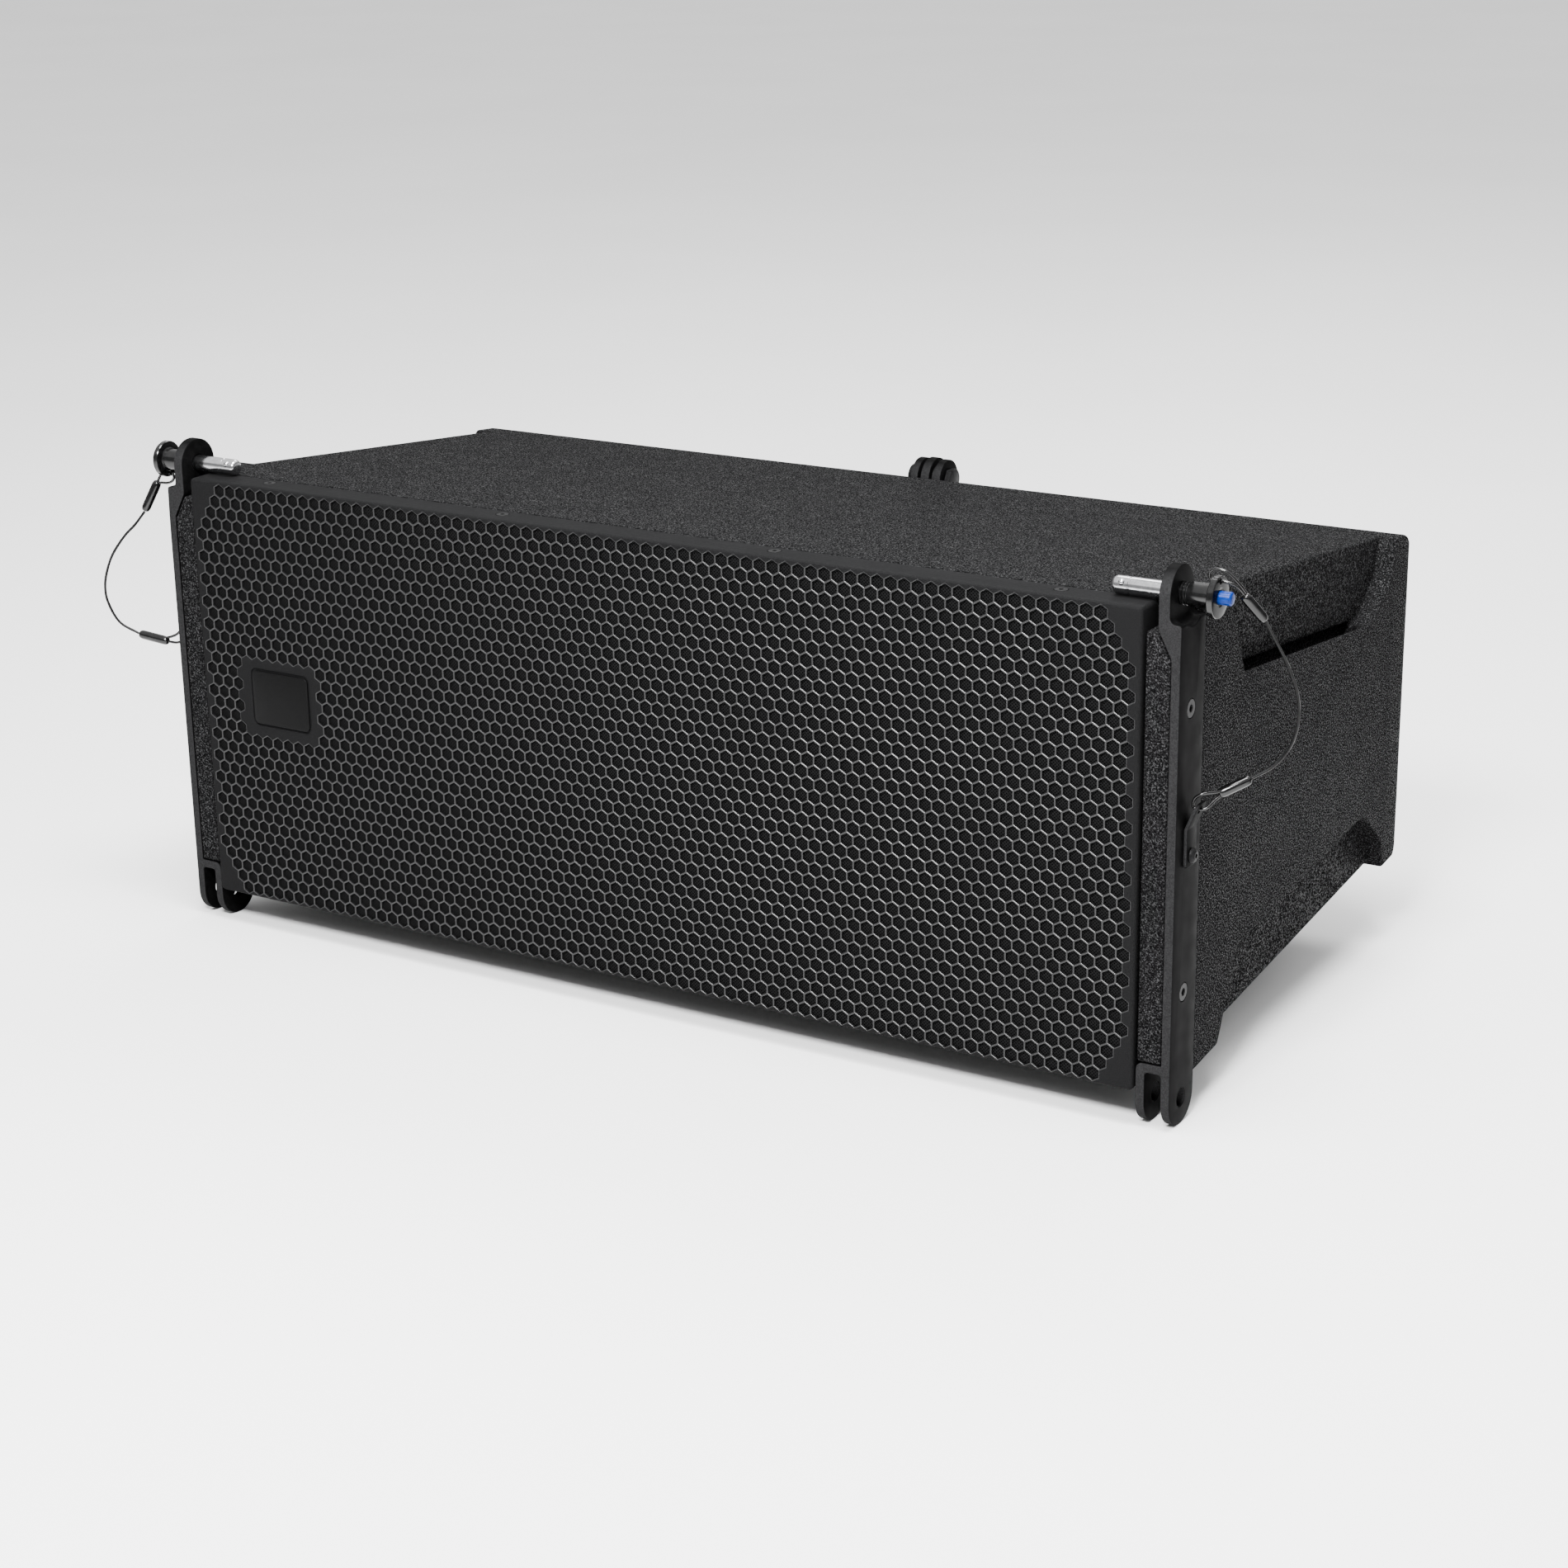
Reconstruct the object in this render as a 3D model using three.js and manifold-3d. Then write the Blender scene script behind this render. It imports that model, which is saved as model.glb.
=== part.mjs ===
// Line array loudspeaker: a trapezoidal two-way cabinet with its front and rear rigging.
// Millimetres, +Z up. The grille faces -Y, and +X is to the right when the grille is seen from the front.
// The origin is midway between the two front suspension tabs, on the axis of their pin holes.
// Everything is drawn with y = 0 on the grille's front face and z = 0 at the grille's centre;
// the whole assembly is then moved so that the pin axis lies on the origin.

import * as THREE from 'three';
import { mergeVertices } from 'three/addons/utils/BufferGeometryUtils.js';
import Module from 'manifold-3d';

const wasm = await Module();
wasm.setup();

// ---------------------------------------------------------------- driving dimensions

const clearance = 0.3; // between pieces that touch on the real object

const cabinet = {
  halfWidth: 329,
  front: 19.3,
  back: 334.5,
  halfHeight: 130, // at the front
  taper: 0.104, // fall of the top and rise of the bottom, per millimetre of depth
  wall: 12,
  cornerRadius: 14,
  cavityHalfWidth: 303,
  cavityFront: 32.3,
  cavityBack: 322.5,
};

const lip = {
  halfWidth: 308.2,
  halfHeight: 128.2,
  front: 4,
  openingHalfWidth: 288,
  openingHalfHeight: 112,
};

const cheek = { inner: 311.3, outer: 324.9, front: 2, top: 117.7, bottom: -113.1, back: 33.3 };

// Hand recesses: depth is measured down from the sloping surface to the ledge.
const grip = {
  floor: 317.5,
  depth: 47,
  front: 66,
  lipFront: 88,
  lipRear: 268,
  rearKnee: 294,
  rearTop: 305,
};

const groove = { inner: 311.5, outer: 324.5, front: 96, rear: 262, depth: 7 };

const grille = {
  halfWidth: 310,
  halfHeight: 130,
  sheet: 1.5,
  depth: 18.8,
  clothInset: 2.2,
  clothFront: 1.9,
  clothBack: 2.7,
};

const screwRows = { x: [-259, -89.5, 89.5, 259], y: 13, pilotRadius: 2.2, holeRadius: 3.9 };

const badge = {
  x: -250.5,
  z: 0.5,
  width: 42,
  height: 33,
  cornerRadius: 3,
  recessMargin: 1.4,
  recessDepth: 0.9,
  proud: 0.5,
};

const bar = {
  inner: 325.2,
  outer: 330.2,
  front: 2,
  back: 32,
  outerTop: 122.3,
  earRoomRadius: 15.9, // dip in the top round the ear of the box above
  tabInner: 317.5,
  tabOuter: 323.7,
  tabRadius: 14.5,
  joggleTop: 119,
  joggleBottom: 104.5,
  earInner: 310.9,
  slotInner: 316,
  bridgeTop: -113.5,
  bridgeBottom: -118.6,
  earRadius: 15,
  screwRadius: 2.8,
  screwHeights: [76.5, -76],
  screwY: 16.5,
};

const pinAxis = { y: 17, z: 135.2 };
const forkHoleHeight = -135.2;

const pin = {
  shankRadius: 4.75,
  holeRadius: 5.05,
  reach: 37, // from the tab's outer face to the tip
  sleeveRadius: 6.2,
  sleeveLength: 16.5,
  flangeRadius: 10.8,
  flangeThickness: 3.5,
  buttonRadius: 3.5,
  buttonProud: 6.5,
  eyeHoleRadius: 1.6,
  eyeHoleOffset: 8.3,
};

// Bent strip on the bar that the lower end of the lanyard is looped through.
const tag = {
  thickness: 1.8,
  front: 11,
  back: 23,
  bottom: -7,
  bend: 14,
  top: 28,
  lean: 5.8,
  holeHeight: 24,
  screwHeight: -1,
};

const wireRadius = 0.8;
const ferruleRadius = 2.75;

const woofer = {
  x: 180,
  mountingFace: 14,
  frameRadius: 102,
  cutoutRadius: 92.5,
  coneRadius: 76,
  coilRadius: 27.4,
};

const baffle = { front: 14, back: 32, halfWidth: 287.7, halfHeight: 111.7 };

const horn = {
  flangeHalfWidth: 62,
  flangeHalfHeight: 106,
  mouthHalfWidth: 52,
  mouthHalfHeight: 94,
  throat: 12,
  length: 86,
  wall: 3.5,
};

const rear = {
  plateThickness: 4,
  plateHalfWidth: 30,
  plateHalfHeight: 88,
  earInner: 5.6,
  earOuter: 10.6,
  axisY: 352.5,
  pivotHeight: 92,
  earRadius: 12.3,
  linkRadius: 13,
  linkHalfThickness: 3,
  linkBoss: 5.3,
  linkLength: 90,
  parkedPinHeight: -40,
  lowerHoleHeight: -92,
};

const inputPanel = {
  x: 132,
  halfWidth: 60,
  halfHeight: 42,
  thickness: 2.5,
  recess: 3,
  rebateStep: 10,
  connectorSpacing: 44,
  connectorRadius: 12,
};

// ---------------------------------------------------------------- materials

function finish(color, roughness, metalness) {
  return new THREE.MeshStandardMaterial({ color, roughness, metalness, flatShading: true });
}

const finishes = {
  coating: () => finish(0x1d1d1e, 0.75, 0.0),
  powderCoat: () => finish(0x151516, 0.45, 0.3),
  blackSteel: () => finish(0x19191a, 0.4, 0.5),
  glossBlack: () => finish(0x08080a, 0.15, 0.2),
  brightSteel: () => finish(0xc8cacc, 0.22, 1.0),
  bluePlastic: () => finish(0x1550b8, 0.35, 0.0),
  cloth: () => finish(0x101011, 0.95, 0.0),
  board: () => finish(0x2b2621, 0.8, 0.0),
  paper: () => finish(0x17171a, 0.85, 0.0),
  rubber: () => finish(0x0e0e0e, 0.6, 0.0),
  castMetal: () => finish(0x3a3b3e, 0.5, 0.8),
  ferrite: () => finish(0x2a2a2c, 0.6, 0.5),
  spider: () => finish(0xb98a3d, 0.9, 0.0),
  moulding: () => finish(0x121213, 0.5, 0.0),
  circuit: () => finish(0x1f5a34, 0.5, 0.0),
};

// ---------------------------------------------------------------- solids

// A copy that keeps only positions, with shared corners welded and collapsed triangles left out.
function welded(geometry) {
  const plain = geometry.clone();
  plain.deleteAttribute('normal');
  plain.deleteAttribute('uv');
  const merged = mergeVertices(plain, 1e-4);
  const index = merged.index.array;
  const kept = [];
  for (let i = 0; i < index.length; i += 3) {
    const [a, b, c] = [index[i], index[i + 1], index[i + 2]];
    if (a !== b && b !== c && c !== a) kept.push(a, b, c);
  }
  merged.setIndex(kept);
  return outward(merged);
}

// Turns every face over when the enclosed volume comes out negative.
function outward(geometry) {
  const index = Array.from(geometry.index.array);
  const corners = [new THREE.Vector3(), new THREE.Vector3(), new THREE.Vector3()];
  let volume = 0;
  for (let i = 0; i < index.length; i += 3) {
    corners.forEach((corner, k) => corner.fromBufferAttribute(geometry.attributes.position, index[i + k]));
    volume += corners[0].dot(corners[1].clone().cross(corners[2]));
  }
  if (volume < 0) geometry.setIndex(index.reverse());
  return geometry;
}

function toManifold(geometry) {
  const mesh = geometry.attributes.normal ? welded(geometry) : geometry;
  return new wasm.Manifold(
    new wasm.Mesh({
      numProp: 3,
      vertProperties: new Float32Array(mesh.attributes.position.array),
      triVerts: new Uint32Array(mesh.index.array),
    }),
  );
}

function fromManifold(manifold) {
  const mesh = manifold.getMesh();
  const geometry = new THREE.BufferGeometry();
  geometry.setAttribute('position', new THREE.BufferAttribute(mesh.vertProperties, 3));
  geometry.setIndex(new THREE.BufferAttribute(mesh.triVerts, 1));
  return geometry;
}

function combine(operation, first, others) {
  const result = others.reduce((body, other) => body[operation](toManifold(other)), toManifold(first));
  return fromManifold(result);
}

const join = (first, ...others) => combine('add', first, others);
const cut = (first, ...others) => combine('subtract', first, others);
const common = (first, ...others) => combine('intersect', first, others);

function mirrored(geometry, x, z) {
  const copy = geometry.attributes.normal ? welded(geometry) : geometry.clone();
  return outward(copy.scale(x, 1, z));
}

// The same solid on the other side of the x = 0 plane when sign is -1.
const onSide = (sign, geometry) => (sign > 0 ? geometry : mirrored(geometry, -1, 1));

// The same solid with top and bottom exchanged when sign is -1.
const upOrDown = (sign, geometry) => (sign > 0 ? geometry : mirrored(geometry, 1, -1));

// A rectangular solid from its [low, high] limits on each axis.
function box(x, y, z) {
  const size = [x, y, z].map(([low, high]) => high - low);
  const middle = [x, y, z].map(([low, high]) => (low + high) / 2);
  return new THREE.BoxGeometry(...size).translate(...middle);
}

// A flat outline from corners [u, v, radius]; a corner with no radius stays sharp.
function outline(corners) {
  const shape = new THREE.Shape();
  corners.forEach(([u, v, radius = 0], i) => {
    const here = new THREE.Vector2(u, v);
    const [before, after] = [corners.at(i - 1), corners[(i + 1) % corners.length]].map(
      ([otherU, otherV]) => new THREE.Vector2(otherU - u, otherV - v).normalize(),
    );
    const reach = radius / Math.tan(before.angleTo(after) / 2);
    const start = here.clone().addScaledVector(before, reach);
    const end = here.clone().addScaledVector(after, reach);
    if (i === 0) shape.moveTo(start.x, start.y);
    else shape.lineTo(start.x, start.y);
    if (radius > 0) shape.quadraticCurveTo(here.x, here.y, end.x, end.y);
  });
  shape.closePath();
  return shape;
}

function rectangle(halfWidth, halfHeight) {
  return outline([
    [-halfWidth, -halfHeight],
    [halfWidth, -halfHeight],
    [halfWidth, halfHeight],
    [-halfWidth, halfHeight],
  ]);
}

function disc(radius, u = 0, v = 0) {
  return new THREE.Shape().absarc(u, v, radius, 0, 2 * Math.PI);
}

const unitX = new THREE.Vector3(1, 0, 0);
const unitY = new THREE.Vector3(0, 1, 0);
const unitZ = new THREE.Vector3(0, 0, 1);
const shapeOntoYZ = new THREE.Matrix4().makeBasis(unitY, unitZ, unitX);
const shapeOntoXZ = new THREE.Matrix4().makeBasis(unitX, unitZ, unitY.clone().negate());

function extruded(shape, depth, curveSegments) {
  return new THREE.ExtrudeGeometry(shape, { depth, curveSegments, bevelEnabled: false });
}

// A (y, z) outline extruded between two x positions.
function alongX(shape, [low, high], curveSegments = 5) {
  return extruded(shape, high - low, curveSegments).applyMatrix4(shapeOntoYZ).translate(low, 0, 0);
}

// An (x, z) outline extruded between two y positions.
function alongY(shape, [low, high], curveSegments = 5) {
  return extruded(shape, high - low, curveSegments).applyMatrix4(shapeOntoXZ).translate(0, high, 0);
}

// Round solids from (radius, height) profiles, with the height along +X, +Y or +Z.
function turned(profile, segments) {
  return new THREE.LatheGeometry(
    profile.map(([radius, height]) => new THREE.Vector2(radius, height)),
    segments,
  );
}
const turnedX = (profile, segments = 24) => turned(profile, segments).rotateZ(-Math.PI / 2);
const turnedY = (profile, segments = 24) => turned(profile, segments);
const turnedZ = (profile, segments = 24) => turned(profile, segments).rotateX(Math.PI / 2);

const rod = (radius, low, high) => [
  [0, low],
  [radius, low],
  [radius, high],
  [0, high],
];

// A round tube that follows a smooth curve through the points.
function tube(points, radius, steps, sides = 8) {
  const path = new THREE.CatmullRomCurve3(points.map((point) => new THREE.Vector3(...point)));
  return new THREE.ExtrudeGeometry(disc(radius), { steps, extrudePath: path, curveSegments: sides / 2 });
}

// ---------------------------------------------------------------- assembly

const assembly = new THREE.Group();
assembly.position.set(0, -pinAxis.y, -pinAxis.z);

function add(name, geometry, material, parent = assembly) {
  const mesh = new THREE.Mesh(geometry.attributes.normal ? welded(geometry) : geometry, material);
  mesh.name = name;
  parent.add(mesh);
  return mesh;
}

function groupAt(x, y, z, parent = assembly) {
  const group = new THREE.Group();
  group.position.set(x, y, z);
  parent.add(group);
  return group;
}

const sides = [
  ['left', -1],
  ['right', 1],
];

// Height of the top surface above the cabinet's middle, at a given depth.
function surfaceHeight(y) {
  return cabinet.halfHeight - cabinet.taper * (y - cabinet.front);
}

// ---------------------------------------------------------------- cabinet

// A point at a depth under the top surface, in the (y, z) plane.
const below = (y, depth) => [y, surfaceHeight(y) - depth];

function gripCut() {
  const recess = outline([
    [grip.front - 6, surfaceHeight(grip.front) + 10],
    [...below(grip.front + 4, 8), 0],
    [...below(grip.lipFront, grip.depth), 7],
    [...below(grip.lipRear, grip.depth), 22],
    [...below(grip.rearKnee + 2, 24), 16],
    [grip.rearTop, surfaceHeight(grip.rearTop)],
    [grip.rearTop + 1, surfaceHeight(grip.rearTop) + 12],
  ]);
  return alongX(recess, [grip.floor, cabinet.halfWidth + 5]);
}

// Finger groove along the back of the ledge.
function grooveCut() {
  const slot = outline([
    [...below(groove.front, grip.depth - 2), 0],
    [...below(groove.front, grip.depth + groove.depth), 3],
    [...below(groove.rear, grip.depth + groove.depth), 3],
    [...below(groove.rear, grip.depth - 2), 0],
  ]);
  return alongX(slot, [groove.inner, groove.outer], 3);
}

// Room in the cheek for the bar's inward joggle.
function joggleCut() {
  const gap = 2 * clearance;
  const slope = outline([
    [bar.inner - gap, bar.joggleBottom - gap],
    [bar.inner + 5, bar.joggleBottom - gap],
    [bar.inner + 5, bar.joggleTop + 5],
    [bar.tabInner - gap, bar.joggleTop + 5],
    [bar.tabInner - gap, bar.joggleTop - gap],
  ]);
  return alongY(slope, [-5, cheek.back]);
}

function cabinetShell() {
  const { halfWidth, front, back, wall, cornerRadius, cavityHalfWidth, cavityFront, cavityBack } = cabinet;
  const sideView = outline([
    [front, -surfaceHeight(front)],
    [back, -surfaceHeight(back), cornerRadius],
    [back, surfaceHeight(back), cornerRadius],
    [front, surfaceHeight(front)],
  ]);
  const planView = new THREE.Shape();
  planView.moveTo(-halfWidth, front);
  planView.lineTo(halfWidth, front);
  planView.lineTo(halfWidth, back - cornerRadius);
  planView.quadraticCurveTo(halfWidth, back, halfWidth - cornerRadius, back);
  planView.lineTo(-halfWidth + cornerRadius, back);
  planView.quadraticCurveTo(-halfWidth, back, -halfWidth, back - cornerRadius);
  planView.closePath();
  const tall = cabinet.halfHeight + 10;
  const fromAbove = extruded(planView, 2 * tall, 4).translate(0, 0, -tall);
  const body = common(alongX(sideView, [-halfWidth, halfWidth], 4), fromAbove);

  const lipFrame = box(
    [-lip.halfWidth, lip.halfWidth],
    [lip.front, front + 1],
    [-lip.halfHeight, lip.halfHeight],
  );
  const cheeks = sides.map(([, sign]) =>
    onSide(sign, box([cheek.inner, cheek.outer], [cheek.front, front + 1], [cheek.bottom, cheek.top])),
  );
  const outside = join(body, lipFrame, ...cheeks);

  const cavity = alongX(
    outline([
      [cavityFront, -surfaceHeight(cavityFront) + wall],
      [cavityBack, -surfaceHeight(cavityBack) + wall],
      [cavityBack, surfaceHeight(cavityBack) - wall],
      [cavityFront, surfaceHeight(cavityFront) - wall],
    ]),
    [-cavityHalfWidth, cavityHalfWidth],
  );
  const mouth = box(
    [-lip.openingHalfWidth, lip.openingHalfWidth],
    [lip.front - 5, cavityFront + 5],
    [-lip.openingHalfHeight, lip.openingHalfHeight],
  );

  const cuts = [cavity, mouth, ...inputPanelCuts()];
  for (const [, sign] of sides) {
    cuts.push(...barCuts().map((tool) => onSide(sign, tool)));
    for (const up of [1, -1]) {
      cuts.push(onSide(sign, upOrDown(up, gripCut())));
      cuts.push(onSide(sign, upOrDown(up, grooveCut())));
    }
  }
  for (const x of screwRows.x) {
    for (const up of [1, -1]) {
      const hole = turnedZ(rod(screwRows.pilotRadius, 0, 20), 12);
      cuts.push(upOrDown(up, hole.translate(x, screwRows.y, lip.halfHeight - 11)));
    }
  }
  return cut(outside, ...cuts);
}

// The rigging bar lies flush in a step of the wall, with a pocket for its fork at the bottom
// and one for the tab and the fork of the box above at the top.
function barCuts() {
  const outside = cabinet.halfWidth + 5;
  const depth = [-5, cheek.back];
  const screwHoles = bar.screwHeights.map((height) =>
    turnedX(rod(bar.screwRadius + 2 * clearance, 0, 30), 12).translate(
      cabinet.cavityHalfWidth + 4,
      bar.screwY,
      height,
    ),
  );
  return [
    box([cheek.outer, outside], depth, [-200, 200]),
    box([grille.halfWidth + 0.5, outside], depth, [cheek.top, 200]),
    box([grille.halfWidth + 0.4, outside], depth, [-200, cheek.bottom]),
    joggleCut(),
    ...screwHoles,
  ];
}

function inputPanelCuts() {
  const { x, halfWidth, halfHeight, recess, rebateStep: step } = inputPanel;
  const rebate = box(
    [x - halfWidth - clearance, x + halfWidth + clearance],
    [cabinet.back - recess, cabinet.back + 5],
    [-halfHeight - clearance, halfHeight + clearance],
  );
  const through = box(
    [x - halfWidth + step, x + halfWidth - step],
    [cabinet.cavityBack - 5, cabinet.back],
    [-halfHeight + step, halfHeight - step],
  );
  return [rebate, through];
}

function baffleBoard() {
  const board = rectangle(baffle.halfWidth, baffle.halfHeight);
  for (const [, sign] of sides) board.holes.push(disc(woofer.cutoutRadius, sign * woofer.x, 0));
  const around = horn.wall + 1;
  board.holes.push(rectangle(horn.mouthHalfWidth + around, horn.mouthHalfHeight + around));
  return alongY(board, [baffle.front, baffle.back], 16);
}

add('cabinet_shell', cabinetShell(), finishes.coating());
add('baffle_board', baffleBoard(), finishes.board());

// ---------------------------------------------------------------- grille

function grillePan() {
  const { halfWidth, halfHeight, sheet, depth } = grille;
  const pan = box([-halfWidth, halfWidth], [0, depth], [-halfHeight, halfHeight]);
  const inside = box(
    [-halfWidth + sheet, halfWidth - sheet],
    [sheet, depth + 5],
    [-halfHeight + sheet, halfHeight - sheet],
  );
  const badgeRecess = alongY(badgeOutline(badge.recessMargin), [-1, badge.recessDepth], 3);
  const holes = screwRows.x.map((x) =>
    turnedZ(rod(screwRows.holeRadius, -halfHeight - 5, halfHeight + 5), 16).translate(x, screwRows.y, 0),
  );
  return cut(pan, inside, badgeRecess, ...holes);
}

function badgeOutline(margin) {
  const { x, z, cornerRadius } = badge;
  const [width, height] = [badge.width / 2 + margin, badge.height / 2 + margin];
  return outline([
    [x - width, z - height, cornerRadius],
    [x + width, z - height, cornerRadius],
    [x + width, z + height, cornerRadius],
    [x - width, z + height, cornerRadius],
  ]);
}

function grilleCloth() {
  const { halfWidth, halfHeight, clothInset, clothFront, clothBack } = grille;
  return box(
    [-halfWidth + clothInset, halfWidth - clothInset],
    [clothFront, clothBack],
    [-halfHeight + clothInset, halfHeight - clothInset],
  );
}

// Countersunk screw, heights measured from the top of its head.
function grilleScrew() {
  return turnedZ(
    [
      [0, -11],
      [1.9, -11],
      [1.9, -1.4],
      [3.6, 0],
      [0, 0],
    ],
    16,
  );
}

add('front_grille', grillePan(), finishes.powderCoat());
add('grille_cloth', grilleCloth(), finishes.cloth());
const badgePlate = alongY(badgeOutline(0), [-badge.proud, badge.recessDepth - clearance], 3);
add('badge_plate', badgePlate, finishes.moulding());
screwRows.x.forEach((x, i) => {
  const top = add(`grille_screw_top_${i + 1}`, grilleScrew(), finishes.blackSteel());
  top.position.set(x, screwRows.y, grille.halfHeight - 0.1);
  const bottom = add(`grille_screw_bottom_${i + 1}`, grilleScrew(), finishes.blackSteel());
  bottom.rotation.x = Math.PI;
  bottom.position.set(x, screwRows.y, -grille.halfHeight + 0.1);
});

// ---------------------------------------------------------------- rigging bars

function riggingBar() {
  const { inner, outer, front, back, tabRadius, earRadius } = bar;
  const beyond = 160; // past the rounded ends, which the side view trims
  // Front view of the bent and welded steel: tab at the top, flat bar, fork at the bottom.
  const section = outline([
    [inner, bar.bridgeTop],
    [bar.earInner, bar.bridgeTop, 4],
    [bar.earInner, -beyond],
    [bar.slotInner, -beyond],
    [bar.slotInner, bar.bridgeBottom, 1.5],
    [inner, bar.bridgeBottom, 1.5],
    [inner, -beyond],
    [outer, -beyond],
    [outer, bar.outerTop, 2],
    [bar.tabOuter, bar.outerTop],
    [bar.tabOuter, beyond],
    [bar.tabInner, beyond],
    [bar.tabInner, bar.joggleTop, 5],
    [inner, bar.joggleBottom, 5],
  ]);
  const middle = (front + back) / 2;
  const sideView = new THREE.Shape();
  sideView.moveTo(back, forkHoleHeight);
  sideView.lineTo(back, bar.joggleBottom);
  sideView.lineTo(middle + tabRadius, bar.outerTop);
  sideView.lineTo(middle + tabRadius, pinAxis.z);
  sideView.absarc(middle, pinAxis.z, tabRadius, 0, Math.PI);
  sideView.lineTo(middle - tabRadius, bar.outerTop);
  sideView.lineTo(front, bar.joggleBottom);
  sideView.lineTo(front, forkHoleHeight);
  sideView.absarc(middle, forkHoleHeight, earRadius, Math.PI, 2 * Math.PI);
  for (const height of [pinAxis.z, forkHoleHeight]) {
    sideView.holes.push(disc(pin.holeRadius, pinAxis.y, height));
  }
  const blank = common(
    alongY(section, [front, back], 3),
    alongX(sideView, [bar.earInner - 10, outer + 10], 7),
  );

  const screwHoles = bar.screwHeights.map((height) =>
    turnedX(barScrewProfile(clearance), 20).translate(outer, bar.screwY, height),
  );
  const tagHole = turnedX(rod(1.8, -3, 5), 12).translate(outer, pinAxis.y, tag.screwHeight);
  const earRoomOutline = disc(bar.earRoomRadius, pinAxis.y, pinAxis.z);
  const earRoom = alongX(earRoomOutline, [bar.tabOuter, outer + 3], 16);
  return cut(blank, ...screwHoles, tagHole, earRoom);
}

// Countersunk screw, heights measured from the bar's outer face.
function barScrewProfile(extra) {
  return [
    [0, -19 - extra],
    [bar.screwRadius + extra, -19 - extra],
    [bar.screwRadius + extra, -3.2],
    [5 + extra, -0.6],
    [5 + extra, extra],
    [0, extra],
  ];
}

function barScrew() {
  const socket = alongX(disc(2), [-2, 5], 3);
  return cut(turnedX(barScrewProfile(0), 20), socket);
}

// Heights along the pin start at the tab's outer face.
function pinShank() {
  const { shankRadius, reach } = pin;
  return turnedX(
    [
      [0, -reach],
      [shankRadius - 1.2, -reach],
      [shankRadius, -reach + 1.6],
      [shankRadius, 9],
      [0, 9],
    ],
    20,
  );
}

function pinHandle() {
  const { sleeveRadius, sleeveLength, flangeRadius, flangeThickness, buttonRadius } = pin;
  const start = clearance;
  const end = start + sleeveLength + flangeThickness;
  const bore = buttonRadius + clearance;
  return turnedX(
    [
      [pin.holeRadius, start],
      [sleeveRadius, start],
      [sleeveRadius, start + sleeveLength],
      [flangeRadius, start + sleeveLength],
      [flangeRadius, end],
      [bore, end],
      [bore, 9 + clearance],
      [pin.holeRadius, 9 + clearance],
      [pin.holeRadius, start],
    ],
    20,
  );
}

function pinHandleWithEyeHole(up) {
  const hole = turnedX(rod(pin.eyeHoleRadius, 12, 30), 12).translate(0, 0, up * pin.eyeHoleOffset);
  return cut(pinHandle(), hole);
}

function pinButton() {
  const end = clearance + pin.sleeveLength + pin.flangeThickness;
  return turnedX(
    [
      [0, 12.6],
      [pin.buttonRadius, 12.6],
      [pin.buttonRadius, end + pin.buttonProud - 0.8],
      [pin.buttonRadius - 0.8, end + pin.buttonProud],
      [0, end + pin.buttonProud],
    ],
    20,
  );
}

function lanyardTag() {
  const { thickness, front, back, bottom, bend, top, lean, holeHeight, screwHeight } = tag;
  const inner = bar.outer + clearance;
  const profile = outline([
    [inner, bottom],
    [inner + thickness, bottom],
    [inner + thickness, bend],
    [inner + lean + thickness, top],
    [inner + lean, top],
    [inner, bend],
  ]);
  const middle = (front + back) / 2;
  const strip = alongY(profile, [front, back]);
  const screwHole = turnedX(rod(2.3, -5, 10), 12).translate(inner, middle, screwHeight);
  const eyeHole = turnedX(rod(2.2, -5, 20), 12).translate(inner, middle, holeHeight);
  return cut(strip, screwHole, eyeHole);
}

// Button-head screw, heights measured from the tag's outer face.
function tagScrew() {
  const underHead = clearance;
  return turnedX(
    [
      [0, -4.6],
      [1.5, -4.6],
      [1.5, underHead],
      [4, underHead],
      [3.7, underHead + 1.6],
      [2.2, underHead + 2.5],
      [0, underHead + 2.5],
    ],
    16,
  );
}

for (const [side, sign] of sides) {
  add(`rigging_bar_${side}`, onSide(sign, riggingBar()), finishes.blackSteel());
  bar.screwHeights.forEach((height, i) => {
    const name = `bar_screw_${['upper', 'lower'][i]}_${side}`;
    const screw = add(name, onSide(sign, barScrew()), finishes.blackSteel());
    screw.position.set(sign * bar.outer, bar.screwY, height);
  });
  add(`lanyard_tag_${side}`, onSide(sign, lanyardTag()), finishes.blackSteel());
  const tagMiddle = (tag.front + tag.back) / 2;
  const screw = add(`tag_screw_${side}`, onSide(sign, tagScrew()), finishes.blackSteel());
  screw.position.set(sign * (bar.outer + clearance + tag.thickness), tagMiddle, tag.screwHeight);

  const pinGroup = groupAt(sign * bar.tabOuter, pinAxis.y, pinAxis.z);
  add(`pin_shank_${side}`, onSide(sign, pinShank()), finishes.brightSteel(), pinGroup);
  add(`pin_handle_${side}`, onSide(sign, pinHandleWithEyeHole(sign)), finishes.glossBlack(), pinGroup);
  add(`pin_button_${side}`, onSide(sign, pinButton()), finishes.bluePlastic(), pinGroup);
}

// ---------------------------------------------------------------- lanyards

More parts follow.
